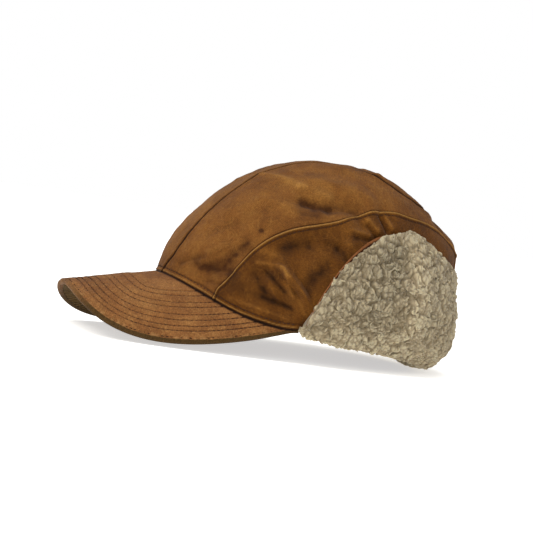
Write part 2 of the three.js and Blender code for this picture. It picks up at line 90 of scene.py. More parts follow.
# %% A table read as a curve
def read(table, column, x):
    """Cubic through the rows of a table, with each row's slope taken from its two neighbours."""
    keys, values = table[:, 0], table[:, column]
    last = len(keys) - 1
    before, after = np.maximum(np.arange(last + 1) - 1, 0), np.minimum(np.arange(last + 1) + 1, last)
    slope = (values[after] - values[before]) / (keys[after] - keys[before])
    x = np.clip(x, keys[0], keys[-1])
    i = np.clip(np.searchsorted(keys, x) - 1, 0, last - 1)
    width = keys[i + 1] - keys[i]
    t = (x - keys[i]) / width
    return (
        (2 * t**3 - 3 * t**2 + 1) * values[i]
        + (t**3 - 2 * t**2 + t) * width * slope[i]
        + (3 * t**2 - 2 * t**3) * values[i + 1]
        + (t**3 - t**2) * width * slope[i + 1]
    )


# %% Shares, bells and vectors
def ease(x, low, high):
    """Runs smoothly from 0 at low to 1 at high."""
    t = np.clip((x - low) / (high - low), 0, 1)
    return t * t * (3 - 2 * t)


def hump(x, middle, wide):
    """Bell curve of height 1."""
    return np.exp(-(((x - middle) / wide) ** 2))


def mix(a, b, t):
    """Goes straight from a to b as t goes from 0 to 1."""
    return a + (b - a) * t


def length(vectors):
    """Length of each vector: the root of the sum of its squares."""
    return np.sqrt((vectors**2).sum(-1))


def unit(vectors):
    """The vectors shortened to a length of 1."""
    return vectors / length(vectors)[..., None]


# %% A search by halves
def solve(low, high, test, rounds=30):
    """Halves a range until it holds the place where test turns from false to true."""
    for _ in range(rounds):
        middle = (low + high) / 2
        found = test(middle)
        low, high = np.where(found, low, middle), np.where(found, middle, high)
    return (low + high) / 2


print("root of 2 by halves:", solve(np.zeros(1), np.full(1, 2.0), lambda x: x * x > 2).round(4)[0])

# %% [markdown]
# ## Random numbers that hold still
# Cloth and pile need unevenness with a size of its own. Both functions below scatter one random
# value in each cube of a lattice, from the cube's own number, so every run gives the same cloth.
# `swell` blends the values of the eight nearest corners, and `clumps` measures how near the
# closest scattered points are, which gives rounded lumps with creases between them.

# %% Lattice noise
def scatter(cells, seed):
    """Three values from 0 to 1 for each cell of a lattice, by mixing the bits of its numbers."""
    c = cells.astype(np.int64).astype(np.uint64)
    mask = np.uint64(0xFFFFFFFF)
    n = c[..., 0] * np.uint64(73856093) ^ c[..., 1] * np.uint64(19349663)
    n = (n ^ c[..., 2] * np.uint64(83492791) ^ np.uint64(seed * 2654435761)) & mask
    values = []
    for _ in range(3):
        n = ((n ^ (n >> np.uint64(15))) * np.uint64(2246822519)) & mask
        n = ((n ^ (n >> np.uint64(13))) * np.uint64(3266489917)) & mask
        values.append((n >> np.uint64(8)).astype(float) / 2**24)
    return np.stack(values, -1)


# %% Swells and clumps
CORNERS = np.stack(np.meshgrid([0, 1], [0, 1], [0, 1], indexing="ij"), -1).reshape(-1, 3)
AROUND = np.stack(np.meshgrid([-1, 0, 1], [-1, 0, 1], [-1, 0, 1], indexing="ij"), -1).reshape(-1, 3)


def swell(points, size, seed):
    """Smooth noise from -1 to 1 whose swells are about this size in millimetres."""
    p = points / size
    base = np.floor(p)
    t = p - base
    t = t * t * (3 - 2 * t)
    total = 0
    for corner in CORNERS:
        weight = np.where(corner == 1, t, 1 - t).prod(-1)
        total = total + weight * scatter(base + corner, seed)[..., 0]
    return 2 * total - 1


def clumps(points, size, seed):
    """Distance to the nearest and to the second nearest scattered point, as shares of the size."""
    p = points / size
    base = np.floor(p)
    near = np.full(p.shape[:-1], 9.0)
    second = near.copy()
    for shift in AROUND:
        away = length(base + shift + scatter(base + shift, seed) - p)
        second = np.minimum(second, np.maximum(near, away))
        near = np.minimum(near, away)
    return near, second


block = np.stack(np.meshgrid(*[np.arange(0.0, 40, 2)] * 3), -1)
swells = swell(block, 20, 1)
print("swells of 20 mm go from", swells.min().round(2), "to", swells.max().round(2))

# %% [markdown]
# ## The crown as one formula
# The crown is a soft dome over an oval opening. Its reach from the middle of the opening, in any
# direction, is a superellipse between its half width and its side view, which a table gives. All
# five panels are cut from this one surface, so their edges meet by themselves.

# %% Tables of the crown
HALF_WIDTH, CANVAS, SEAM_GAP, USUAL_REACH = 82.0, 1.4, 0.06, 110.0
FRONT_ROUNDNESS, TOP_ROUNDNESS = 1.8, 2.3
HALF_SEAM = math.degrees(SEAM_GAP / 2 / USUAL_REACH)

# Side angle (0 at the front, 90 over the top, 180 at the back) and the reach there
PROFILE = np.array([
    (-20, 96.5), (0, 96.9), (15, 98.3), (30, 99.0), (45, 101.8), (60, 105.9), (75, 111.2),
    (90, 118.1), (105, 124.0), (120, 128.0), (132, 132.6), (138, 134.5), (144, 128.6),
    (152, 118.6), (165, 110.4), (180, 104.0), (200, 104.0),
], float)

# Side angle, degrees out to the centre strip's seam, degrees out to the side seam
STRIP_SEAM, SIDE_SEAM = 1, 2
SEAMS = np.array([
    (-10, 3.4, 36.4), (0, 3.4, 36.4), (6, 4.6, 36.8), (12, 7.6, 38.8), (20, 8.6, 39.7),
    (35, 8.4, 40.8), (50, 7.2, 41.9), (65, 6.4, 43.1), (75, 6.2, 43.1), (84, 8.4, 41.4),
    (92, 12.4, 37.6), (100, 16.6, 33.8), (108, 18.6, 30.2), (116, 17.6, 26.8),
    (124, 14.6, 22.0), (132, 11.8, 17.8), (144, 9.0, 14.2), (160, 7.0, 12.0),
    (180, 6.0, 11.0), (200, 6.0, 11.0),
], float)


# %% Directions and their angles
def fan_direction(angle, out):
    """Direction by side angle and by degrees out from the middle line."""
    a, o = np.radians(angle), np.radians(out)
    return np.stack(np.broadcast_arrays(np.sin(o), -np.cos(a) * np.cos(o), np.sin(a) * np.cos(o)), -1)


def round_direction(azimuth, elevation):
    """Direction by azimuth, 0 at the front, and by elevation."""
    a, e = np.radians(azimuth), np.radians(elevation)
    return np.stack(np.broadcast_arrays(np.sin(a) * np.cos(e), -np.cos(a) * np.cos(e), np.sin(e)), -1)


def side_angle(d):
    """Angle round the X axis: 0 at the front, 90 over the top and 180 at the back."""
    angle = np.degrees(np.arctan2(d[..., 2], -d[..., 1]))
    return np.where(angle < -90, angle + 360, angle)


def out_angle(d):
    """Degrees out from the middle line, above 0 on the wearer's left."""
    return np.degrees(np.arcsin(np.clip(d[..., 0], -1, 1)))


# %% Crown surface
def crown_reach(d):
    """Superellipse of the half width and the side view's reach, rounder in front than on top."""
    angle = side_angle(d)
    power = mix(FRONT_ROUNDNESS, TOP_ROUNDNESS, ease(angle, 0, 90))
    across = np.abs(d[..., 0]) / HALF_WIDTH
    along = np.hypot(d[..., 1], d[..., 2]) / read(PROFILE, 1, angle)
    return (across**power + along**power) ** (-1 / power)


def on_crown(d):
    """Points of the crown: each direction times the crown's reach in it."""
    return d * crown_reach(d)[..., None]


def outside_crown(points):
    """How far points lie outside the crown, each along its own ray."""
    far = length(points)
    return far - crown_reach(points / far[..., None])


def crown_normal(points):
    """Slope of outside_crown by differences over 1 mm each way."""
    steps = np.eye(3)
    slope = [outside_crown(points + s) - outside_crown(points - s) for s in steps]
    return unit(np.stack(slope, -1))


print("crown reach at the front, top and back:", crown_reach(fan_direction(np.array([0, 90, 180.0]), 0)))

# %% [markdown]
# ## Folds in the canvas
# Waxed canvas is stiff: it buckles in a few long soft folds and keeps some short sharp creases.
# A cloth simulation would put its folds wherever it liked, and these have known places, so each
# row of a table is one fold: a line between two places on the crown, with a bell-shaped section.
# The broad ones are in the solids too, and the sharp ones are only drawn here, with painted shade in their
# valleys and painted highlight on their ridges.

# %% Folds and creases
# Side angle and degrees out where it starts, the same where it ends, width in degrees, rise in
# mm, side (1 left, -1 right, 0 both), and for a crease how much darker it is painted (or paler,
# below 0): painted shade in its valley and painted highlight on its ridge, with some dark wax
RISE, SHADE = 5, 7
FOLDS = np.array([
    (68, 32, 93, 35.5, 4.5, -3.4, 1), (74, 24, 96, 31, 4.0, 2.2, 1),
    (10, 28, 24, 36, 6.0, -2.4, 0), (30, 50, 84, 52, 6.0, -2.6, 0),
    (41, 54, 42, 72, 6.0, 1.8, 1), (16, 63, 34, 71, 7.0, -2.2, 0),
    (97, 41, 108, 44, 3.4, -2.4, 1), (104, 33, 112, 39, 3.0, -2.0, 0),
    (90, 5, 126, 8, 5.5, -1.7, 1), (90, 5, 126, 8, 5.5, -1.2, -1),
    (88, 15, 122, 17, 3.4, 1.4, 0), (60, 30, 96, 24, 7.0, -1.8, -1),
    (20, 20, 50, 24, 9.0, 1.0, 0),
], float)
CREASES = np.array([
    (68.5, 30, 72, 34.5, 2.2, -1.2, 1, 0.6), (2.6, 44, 3.6, 70, 2.2, 0.4, 1, -0.6),
    (36, 71, 27, 77, 3.6, 0.3, 1, -0.6), (37, 43.5, 44, 51, 3.4, 0.5, 1, -0.7),
    (68, 32, 79, 36.3, 3.0, -1.5, 1, 0.9), (79, 36.3, 93, 36, 2.6, -1.4, 1, 0.9),
    (66, 29, 80, 32, 1.8, 0.9, 1, -0.3), (65, 37, 73, 39, 2.6, -0.7, 1, 0.6),
    (43, 36.3, 44, 36.8, 1.1, -0.5, 1, 1.2), (18, 34, 34, 36.5, 3.6, -1.1, 1, 1.05),
    (9.5, 14, 16.5, 24, 1.6, -0.8, 1, 0.5), (11.5, 23, 16, 38, 3.4, -1.5, 1, 1.0),
    (6.5, 30, 8, 39, 1.8, -0.7, 1, 0.4), (14, 24, 22, 34, 1.8, 0.9, 1, -0.2),
    (19, 25, 31.5, 34, 2.2, 0.8, 1, -0.5), (26, 20, 38, 27, 3.0, -0.5, 1, 0.3),
    (58, 5, 69, 25, 1.9, 0.6, 1, -0.6), (69, 25, 80, 31.5, 1.7, 0.8, 1, -0.6),
    (52, 24, 61, 33, 2.4, 0.6, 1, -0.3), (44, 26, 54, 30, 2.8, -0.5, 1, 0.3),
    (50, 48, 66, 50.8, 3.2, -1.3, 1, 0.5), (66, 49, 84, 51.5, 2.6, -1.1, 1, 0.45),
    (30.5, 46, 41, 55.5, 1.6, 1.0, 1, -0.7), (23.5, 49.5, 18, 56.5, 2.4, -1.5, 1, 1.0),
    (26.5, 55.5, 20, 62, 1.9, 1.2, 1, -0.6), (13, 58, 19, 70, 2.8, -1.6, 1, 1.1),
    (41, 57, 32, 67, 1.9, 1.3, 1, -0.8), (54, 67, 78, 61, 4.4, -1.6, 1, 0.8),
    (39.5, 54, 45, 70, 1.8, 1.3, 1, -0.7), (30.5, 52, 29, 63, 2.0, -1.5, 1, 1.1),
    (36, 57, 37, 70, 1.8, -1.0, 1, 0.5), (47, 60, 52, 72, 1.8, -0.8, 1, 0.4),
    (99.5, 39.6, 107, 42.5, 0.9, -1.5, 1, 0.9), (98, 38, 105, 40.3, 1.1, 1.1, 1, -0.9),
    (103.6, 34.3, 109.5, 37.8, 0.8, -1.4, 1, 0.9), (105, 33, 111, 36, 1.1, 1.1, 1, -0.8),
    (89.7, 44.6, 102, 43.4, 1.2, 1.0, 1, -0.6), (94, 46.4, 108, 44.2, 1.6, -1.3, 1, 0.7),
    (85, 52, 92, 56.5, 2.0, -1.2, 1, 0.8), (75, 49.2, 92, 50, 2.0, 0.9, 1, -0.4),
    (94, 9, 101, 15.5, 1.3, 0.8, 1, -0.5), (100, 15.5, 126, 15.8, 1.3, 0.9, 1, -0.5),
    (96, 11.5, 124, 13, 4.2, -1.2, 1, 1.7), (99, 5, 124, 7.5, 1.5, 1.0, 1, -0.4),
    (102, 1, 124, 3.0, 2.0, -1.2, 0, 0.6), (126, 16, 133, 16.5, 1.0, -1.3, 1, 1.2),
    (97, 38, 106, 42, 1.2, -1.2, -1, 0.9), (44, 52, 40, 68, 2.0, 1.0, -1, -0.5),
    (64, 30, 90, 33, 2.2, -1.3, -1, 0.8), (20, 34, 34, 40, 2.2, -1.0, -1, 0.6),
    (94, 9, 122, 12, 2.0, -1.3, -1, 0.8), (68, 47, 86, 52, 2.6, -1.2, -1, 0.8),
    (12, 28, 16, 37, 2.8, -1.1, -1, 0.6), (24, 52, 18, 66, 2.6, -1.2, -1, 0.7),
    (36, 50, 33, 66, 1.8, 0.9, -1, -0.5), (56, 12, 72, 26, 2.2, 0.7, -1, -0.5),
    # These rows have no rise: they only paint broad shade (above 0) and light (below 0) over the cloth.
    (10, 48, 22, 66, 7.0, 0, 0, 0.32), (84, 41.5, 100, 41.5, 5.0, 0, 0, -0.35),
    (60, 20, 80, 24, 6.0, 0, 0, -0.3), (48, 47, 62, 48, 5.0, 0, 0, 0.25),
    (50, 56, 70, 62, 3.0, -1.1, -1, 0.6), (84, 50, 100, 46, 2.0, 0.8, -1, -0.4),
], float)
print(len(FOLDS), "folds and", len(CREASES), "creases")

# %% Cloth with its folds
CREASE_RISE, CREASE_POWER, SHADE_WIDTH = 1.5, 1.4, 0.8
# Height in mm, size in mm and seed of the unevenness that any worn cloth has
UNEVENNESS = ((0.7, 34, 1), (0.5, 15, 2), (0.22, 6, 3))


def fold_shape(d, table, column=RISE, power=2.0, narrow=1.0):
    """Sum of a table's folds: each a bell of the distance from its line, sharper below power 2."""
    angle, out = side_angle(d), out_angle(d)
    total = 0
    for row in table:
        a, o, to_a, to_o, wide, _, side = row[:7]
        da, do = to_a - a, to_o - o
        pa, po = angle - a, np.abs(out) - o
        share = np.clip((pa * da + po * do) / (da * da + do * do), 0, 1)
        away = np.hypot(pa - share * da, po - share * do)
        total = total + row[column] * np.exp(-((away / wide / narrow) ** power)) * (side * out >= 0)
    return total


def cloth_at(d):
    """The dressed crown in a direction: the dome, its folds and creases and an uneven hand."""
    p = on_crown(d)
    n = crown_normal(p)
    rise = fold_shape(d, FOLDS) + CREASE_RISE * fold_shape(d, CREASES, power=CREASE_POWER)
    for height, size, seed in UNEVENNESS:
        rise = rise + height * swell(p, size, seed)
    return p + n * rise[..., None], n


def crease_shade(d, points):
    """Painted shade in the valleys and painted highlight on the ridges, with some dark wax marks, broken
    up by noise.
    """
    broken = 0.8 + 0.4 * swell(points, 7, 4) + 0.35 * swell(points, 2.6, 5)
    return fold_shape(d, CREASES, SHADE, CREASE_POWER, SHADE_WIDTH) * broken


# %% [markdown]
# ## The peak's board
# The peak is a stiff board bent down at both sides, more tightly towards its outer edge, as part
# of a cone is. A point on it is named by how far across and how far forward it lies on the flat
# board, so that stitch rows and quilting can be drawn flat and bent afterwards.

# %% Sizes of the peak
PEAK_LENGTH, PEAK_DROOP, PEAK_ROOT_HEIGHT = 66.5, math.radians(22.3), 5.6
PEAK_TURN, PEAK_TURN_LENGTH, PEAK_CONE, PEAK_UNIT = math.radians(113.5), 165.0, 0.12, 60.0
PEAK_SQUARENESS, PEAK_END_AZIMUTH, PEAK_END_WIDTH = 3.05, 78.6, 0.2
PEAK_THICKNESS, PEAK_CLEARANCE, PEAK_SEAT = 3.9, 0.4, 3.6
HEM_BLEND, HEM_LEVEL_AZIMUTH, LOWER_INSET = 4.0, 125.0, 2.2
# The hem sits less deep behind the peak from the first azimuth to the second, by this share
SEAT_FADE, SEAT_LOSS = (62, 75), 0.75


# %% The bent board
def board_turn(a):
    """How far the board has turned down at a distance across, levelling off further out."""
    t = a / PEAK_TURN_LENGTH
    return PEAK_TURN * t / np.sqrt(1 + t * t)


# The bend as sums of small straight steps: how far out and how far down by distance across
BEND_STEP, BEND_REACH = 0.5, 150
bend_a = np.arange(0, BEND_REACH + BEND_STEP, BEND_STEP)
bend_turn = board_turn(bend_a[:-1] + BEND_STEP / 2)
bend_x = np.concatenate([[0], np.cumsum(np.cos(bend_turn) * BEND_STEP)])
bend_drop = np.concatenate([[0], np.cumsum(np.sin(bend_turn) * BEND_STEP)])
BOARD_ROOT = np.array([0, -float(crown_reach(fan_direction(0.0, 0.0))), PEAK_ROOT_HEIGHT])
BOARD_FORWARD = np.array([0, -math.cos(PEAK_DROOP), -math.sin(PEAK_DROOP)])
BOARD_UP = np.array([0, -math.sin(PEAK_DROOP), math.cos(PEAK_DROOP)])


def board_point(across, forward, depth):
    """Point of the peak: the bend gives x and drop, and depth goes square to the bent face."""
    k = 1 + PEAK_CONE * forward / PEAK_UNIT
    a = np.abs(across) * k
    turn = board_turn(a)
    x = np.sign(across) * (np.interp(a, bend_a, bend_x) / k - depth * np.sin(turn))
    down = np.interp(a, bend_a, bend_drop) / k + depth * np.cos(turn)
    side = np.stack(np.broadcast_arrays(x, 0 * x, 0 * x), -1)
    return BOARD_ROOT + np.multiply.outer(forward, BOARD_FORWARD) - down[..., None] * BOARD_UP + side


def over_board(points):
    """Height of points over the board's top face, and their place on the flat board."""
    away = points - BOARD_ROOT
    forward = away @ BOARD_FORWARD
    k = 1 + PEAK_CONE * forward / PEAK_UNIT
    x = np.abs(away[..., 0]) * k
    across = np.interp(x, bend_x, bend_a) / k * np.sign(away[..., 0])
    return away @ BOARD_UP + np.interp(x, bend_x, bend_drop) / k, across, forward


# %% Lower edge of the crown
def elevation_where(azimuth, test):
    """Lowest elevation at which a test of the crown's point there comes true."""
    low, high = np.full_like(azimuth, -30.0), np.full_like(azimuth, 60.0)
    return solve(low, high, lambda e: test(on_crown(round_direction(azimuth, e))))


def board_elevation(azimuth, above):
    """Elevation at which the crown's face is this far above the board."""
    return elevation_where(azimuth, lambda p: over_board(p)[0] > above)


def elevation_at_height(azimuth, height):
    """Elevation at which the crown's face is this high over the opening."""
    return elevation_where(azimuth, lambda p: p[..., 2] > height)


end_azimuth = np.array([PEAK_END_AZIMUTH])
END_HEIGHT = float(on_crown(round_direction(end_azimuth, board_elevation(end_azimuth, 0)))[0, 2])


def hem_height(azimuth):
    """Height of the crown's lower edge behind the peak, coming down to the opening's level."""
    return mix(END_HEIGHT, 0, ease(np.abs(azimuth), PEAK_END_AZIMUTH, HEM_LEVEL_AZIMUTH))


def hem_elevation(azimuth):
    """Elevation of the crown's lower edge: seated behind the peak, less so where that thins out."""
    depth = PEAK_SEAT * (1 - SEAT_LOSS * ease(np.abs(azimuth), *SEAT_FADE))
    seated = board_elevation(azimuth, -depth)
    level = elevation_at_height(azimuth, hem_height(azimuth))
    leave = PEAK_END_AZIMUTH - HEM_BLEND
    return mix(seated, level, np.clip((np.abs(azimuth) - leave) / HEM_BLEND, 0, 1))


def hem_angle(out_at, v):
    """Side angle at which each line over the crown starts at the front hem."""
    low, high = np.full_like(v, -40.0), np.full_like(v, 40.0)
    seated = lambda a: over_board(on_crown(fan_direction(a, out_at(a, v))))[0] > -PEAK_SEAT
    return solve(low, high, seated)


print("peak end height", round(END_HEIGHT, 2), "mm; board root", BOARD_ROOT.round(2))

# %% [markdown]
# ## From grids to closed pieces
# Every piece is a grid of points worked out as whole arrays. A Solidify modifier could give it
# its wall, but the inside has less to show than the outside, so here the outer face keeps the
# full grid and the inner face every fourth row and column. Strips of triangles join the two round
# the border, and each piece is a closed solid.

# %% A piece from points and faces
def volume_inside(points, faces):
    """Volume in cubic mm, below 0 where faces point inwards: a sixth of the triangles' products."""
    total = 0.0
    for f in faces:
        for k in range(1, f.shape[1] - 1):
            a, b, c = points[f[:, 0]], points[f[:, k]], points[f[:, k + 1]]
            total += (a * np.cross(b, c)).sum()
    return total / 6


def make_piece(name, points, faces, marks=None, uv=None, smooth_angle=60):
    """Mesh from points in the cap's frame and arrays of quads and triangles, turned outwards."""
    volume = volume_inside(points, faces)
    if volume < 0:
        faces = [f[:, ::-1] for f in faces]
    corners = np.concatenate([f.ravel() for f in faces]).astype(np.int32)
    sizes = np.concatenate([np.full(len(f), f.shape[1]) for f in faces])
    mesh = bpy.data.meshes.new(name)
    mesh.vertices.add(len(points))
    mesh.vertices.foreach_set("co", to_row(points).astype(np.float32).ravel())
    mesh.loops.add(len(corners))
    mesh.loops.foreach_set("vertex_index", corners)
    mesh.polygons.add(len(sizes))
    mesh.polygons.foreach_set("loop_start", np.concatenate([[0], np.cumsum(sizes)[:-1]]).astype(np.int32))
    mesh.polygons.foreach_set("use_smooth", np.ones(len(sizes), bool))
    if uv is not None:
        layer = mesh.uv_layers.new(name="Cloth")
        layer.uv.foreach_set("vector", (uv / 1000)[corners].astype(np.float32).ravel())
    for key, values in (marks or {}).items():
        mark = mesh.attributes.new(key, "FLOAT", "POINT")
        mark.data.foreach_set("value", values.astype(np.float32))
    mesh.update(calc_edges=True)
    mesh.validate()
    if smooth_angle:
        mesh.set_sharp_from_angle(angle=math.radians(smooth_angle))
    piece = bpy.data.objects.new(name, mesh)
    bpy.context.scene.collection.objects.link(piece)
    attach(piece, "root")
    print(f"{name}: {int((sizes - 2).sum())} triangles, {abs(volume) / 1000:.1f} cm3")
    return piece


# %% Closed walls
INNER_STEP = 4


def quads(index):
    """Quads between neighbours of a grid of point numbers."""
    parts = (index[:-1, :-1], index[1:, :-1], index[1:, 1:], index[:-1, 1:])
    return np.stack(parts, -1).reshape(-1, 4)


def border_strip(fine, coarse):
    """Triangles between a fine border line and a coarse one with a quarter of its steps."""
    k, half = INNER_STEP, INNER_STEP // 2
    c0, c1 = coarse[:-1], coarse[1:]
    start = np.arange(len(c0)) * k
    parts = [np.stack([c0, c1, fine[start + half]], -1)]
    parts += [np.stack([c0, fine[start + j + 1], fine[start + j]], -1) for j in range(half)]
    parts += [np.stack([c1, fine[start + j + 1], fine[start + j]], -1) for j in range(half, k)]
    return np.concatenate(parts)


def shell_faces(rows, columns):
    """Faces of a closed wall between a full outer grid and a coarse inner grid."""
    outer = np.arange(rows * columns).reshape(rows, columns)
    few = ((rows - 1) // INNER_STEP + 1, (columns - 1) // INNER_STEP + 1)
    inner = outer.size + np.arange(few[0] * few[1]).reshape(few)
    strips = [
        border_strip(outer[0], inner[0]),
        border_strip(outer[-1], inner[-1])[:, ::-1],
        border_strip(outer[:, 0], inner[:, 0])[:, ::-1],
        border_strip(outer[:, -1], inner[:, -1]),
    ]
    return [quads(outer)[:, ::-1], quads(inner), np.concatenate(strips)[:, ::-1]]


def shell(name, outer, inner, marks, uv, **options):
    """Closed wall from an outer grid and an inner grid of the same size, marked on its outside."""
    thin = (slice(None, None, INNER_STEP), slice(None, None, INNER_STEP))
    join = lambda a, b: np.concatenate([a.reshape(-1, *a.shape[2:]), b[thin].reshape(-1, *a.shape[2:])])
    both = {key: join(value, value) for key, value in marks.items()}
    faces = shell_faces(*outer.shape[:2])
    return make_piece(name, join(outer, inner), faces, both, join(uv, uv), **options)


def crowded(count, edge):
    """Shares from 0 to 1 that lie closer together at both ends."""
    t = np.linspace(0, 1, count)
    return t - edge * np.sin(2 * math.pi * t) / (2 * math.pi)


# %% [markdown]
# ## Crown panels
# Five panels make the crown: a centre strip that widens at the back, an upper panel each side and
# a half-moon lower panel each side. Along the strip the edges are turned in, and the thin dark
# line between them is painted shade. Along the side seam the lower panel's edge stands up as a
# narrow roll with a row of stitches under it, and the front hem stands up in the same way over
# the peak; each roll is painted paler, as wear and painted highlight, and its groove darker, as
# painted shade. A seam could be a separate cord laid on the cloth, but it is the cloth's own
# edge, so it is a rise of the surface by the distance from the seam.

# %% Seam sections
# Millimetres from the seam to the middle of the roll and to the stitches, for hem and side seam
HEM_ROLL, HEM_STITCH = 1.3, 3.3
SIDE_ROLL, SIDE_STITCH = 0.75, 2.6
GROOVE_WIDE, HEM_FADE, TURN_DEPTH = 0.45, (79, 85), 1.4


def hem_marks(points):
    """Roll and stitched groove of the front hem, by height over the peak's board: the roll painted paler,
    as wear and painted highlight, and the groove darker, as painted shade.
    """
    height = over_board(points)[0]
    azimuth = np.abs(np.degrees(np.arctan2(points[..., 0], -points[..., 1])))
    near = 1 - ease(azimuth, *HEM_FADE)
    pucker = 1 + 0.35 * swell(points, 2.4, 11)
    roll = hump(height, HEM_ROLL, 0.48) * near
    groove = hump(height, HEM_STITCH, GROOVE_WIDE) * near
    rise = 0.55 * roll * pucker - 0.4 * groove
    # The third value is painted shade: the stitched groove, and a dark line just under the roll where it
    # meets the peak.
    return rise, 0.6 * roll, 0.6 * groove + 1.3 * hump(height, -0.3, 0.9) * near, height


def side_marks(points, away):
    """Roll and stitched groove of the lower panel's edge, by distance from the side seam: the roll painted
    paler, as wear and painted highlight, and the groove darker, as painted shade.
    """
    pucker = 1 + 0.3 * swell(points, 2.6, 12)
    roll, groove = hump(away, SIDE_ROLL, 0.5), hump(away, SIDE_STITCH, GROOVE_WIDE)
    flat = 0.3 * (1 - ease(away, SIDE_STITCH - 0.4, SIDE_STITCH + 0.6))
    puffs = 0.22 * hump(away, SIDE_STITCH + 2.4, 1.7) * swell(points, 3.4, 13)
    return 0.75 * roll * pucker + flat - 0.35 * groove + puffs, roll, 0.6 * groove


def turned_edge(points, away):
    """A seam's edge that dips in over the last millimetre, with small puckers beside it, and the painted
    shade of the seam's dark line.
    """
    dip = -TURN_DEPTH * np.exp(-((away / 1.0) ** 2))
    # Painted shade: the dark line along the seam.
    dark = 1.5 * np.exp(-((away / 1.05) ** 2))
    return dip + 0.2 * hump(away, 1.9, 1.6) * (1 + swell(points, 3.2, 14)), dark


def panel_uv(angle, across):
    """Place on the cloth in mm: along by the side angle, and across by the distance from a seam."""
    return np.stack(np.broadcast_arrays(np.radians(angle) * USUAL_REACH, across), -1)


# %% [markdown]
# ### Panels that run from front to back
# A strip or an upper panel is cut between two lines over the crown, so its grid runs from the
# front hem to the back along the side angle. Each edge knows how it is sewn: turned in beside the
# strip, and lapped under the roll along the side.

# %% Centre strip and upper panels
FAN_ROWS, STRIP_COLUMNS, UPPER_COLUMNS = 461, 49, 77


def fan_panel(name, inner, outer, columns, edge, ends):
    """Panel between two lines over the crown, from the front hem to the back edge."""
    v = crowded(columns, edge)
    out_at = lambda angle, share: mix(inner(angle), outer(angle), share)
    start = hem_angle(out_at, v)
    angle = mix(start[None, :], 180.0, np.linspace(0, 1, FAN_ROWS)[:, None])
    d = fan_direction(angle, out_at(angle, v[None, :]))
    p, n = cloth_at(d)
    first, last = length(p - p[:, :1]), length(p - p[:, -1:])
    hem, hem_roll, hem_groove, height = hem_marks(p)
    rise, roll, groove = hem, hem_roll, hem_groove
    for away, kind in ((first, ends[0]), (last, ends[1])):
        if kind == "turned":
            dip, dark = turned_edge(p, away)
            rise, groove = rise + dip, groove + dark
        else:
            # Where the panel goes in under the roll it sinks, and its colour gets painted shade.
            under = np.exp(-((away / 0.9) ** 2))
            rise, groove = rise - 0.5 * under, groove + 0.9 * under
            rise = rise + 0.7 * hump(away, 0, 3.2) * hump(height, HEM_ROLL, 1.7)
    # The marks paint the rolls paler, as wear and painted highlight, the grooves and seam lines darker, as
    # painted shade, and the creases with painted shade and highlight.
    marks = {"wear_and_highlight": roll, "groove_shade": np.clip(groove, 0, 1), "crease": crease_shade(d, p)}
    p = p + n * rise[..., None]
    return shell("sewn_" + name, p, p - n * CANVAS, marks, panel_uv(angle, first))


strip_out = lambda angle: read(SEAMS, STRIP_SEAM, angle)
side_out = lambda angle: read(SEAMS, SIDE_SEAM, angle)
pieces = {}
pieces["centre_strip"] = fan_panel(
    "centre_strip", lambda a: HALF_SEAM - strip_out(a), lambda a: strip_out(a) - HALF_SEAM,
    STRIP_COLUMNS, 0.55, ("turned", "turned"),
)
for word, side in (("left", 1), ("right", -1)):
    name = f"upper_panel_{word}"
    pieces[name] = fan_panel(
        name, lambda a, s=side: s * (strip_out(a) + HALF_SEAM),
        lambda a, s=side: s * (side_out(a) - HALF_SEAM),
        UPPER_COLUMNS, 0.6, ("turned", "lapped"),
    )


# %% [markdown]
# ### Half-moon lower panels
# The lower panel hangs between the side seam and the rim. Its two edges aren't parallel, so each
# row is a straight mix of a direction on the one and a direction on the other.

# %% Lower panels and the path of their stitches
LOWER_ROWS, LOWER_COLUMNS = 401, 85


def side_seam_lines(side, u):
    """Upper and lower ends of the lower panel's rows, as directions."""
    top = lambda angle, _=None: side * (side_out(angle) + HALF_SEAM)
    start = float(hem_angle(top, np.zeros(1))[0])
    ends = fan_direction(np.array([start, 180.0]), top(np.array([start, 180.0])))
    front, back = np.degrees(np.arctan2(ends[:, 0], -ends[:, 1]))
    angle = mix(start, 180.0, u)
    azimuth = mix(front + side * LOWER_INSET, back - side * LOWER_INSET, u)
    return fan_direction(angle, top(angle)), round_direction(azimuth, hem_elevation(azimuth)), angle


def lower_panel(name, side):
    """Half-moon between the side seam and the crown's lower edge, its rows drawn straight down."""
    t = np.linspace(0, 1, LOWER_COLUMNS)
    v = mix(t, t**2, 0.55)
    high, low, angle = side_seam_lines(side, np.linspace(0, 1, LOWER_ROWS))
    d = unit(mix(high[:, None], low[:, None], v[None, :, None]))
    p, n = cloth_at(d)
    away = length(p - p[:, :1])
    hem, hem_roll, hem_groove, height = hem_marks(p)
    side_rise, side_roll, side_groove = side_marks(p, away)
    rise = hem + side_rise + 0.7 * hump(away, 0, 3.2) * hump(height, HEM_ROLL, 1.7)
    # The marks paint the rolls paler, as wear and painted highlight, the grooves darker, as painted shade,
    # and the creases with painted shade and highlight.
    marks = {
        "wear_and_highlight": np.clip(hem_roll + side_roll, 0, 1), "groove_shade": np.clip(hem_groove + side_groove, 0, 1),
        "crease": crease_shade(d, p),
    }
    p = p + n * rise[..., None]
    return shell("sewn_" + name, p, p - n * CANVAS, marks, panel_uv(angle[:, None], away))


for word, side in (("left", 1), ("right", -1)):
    pieces[f"lower_panel_{word}"] = lower_panel(f"lower_panel_{word}", side)


# %% [markdown]
# ## The peak
# A peak is a board in a canvas sleeve: the top cloth is wrapped round the edge, and rows of
# stitching hold it down. Each row pulls a shallow groove, and the cloth puffs up between rows.
# Grooves could be a bump in the material, but they are deep enough to break the light at the
# edge, so they are in the surface. A row is the outline moved inwards, and the depth of every
# point is read from how far it lies from the outline.

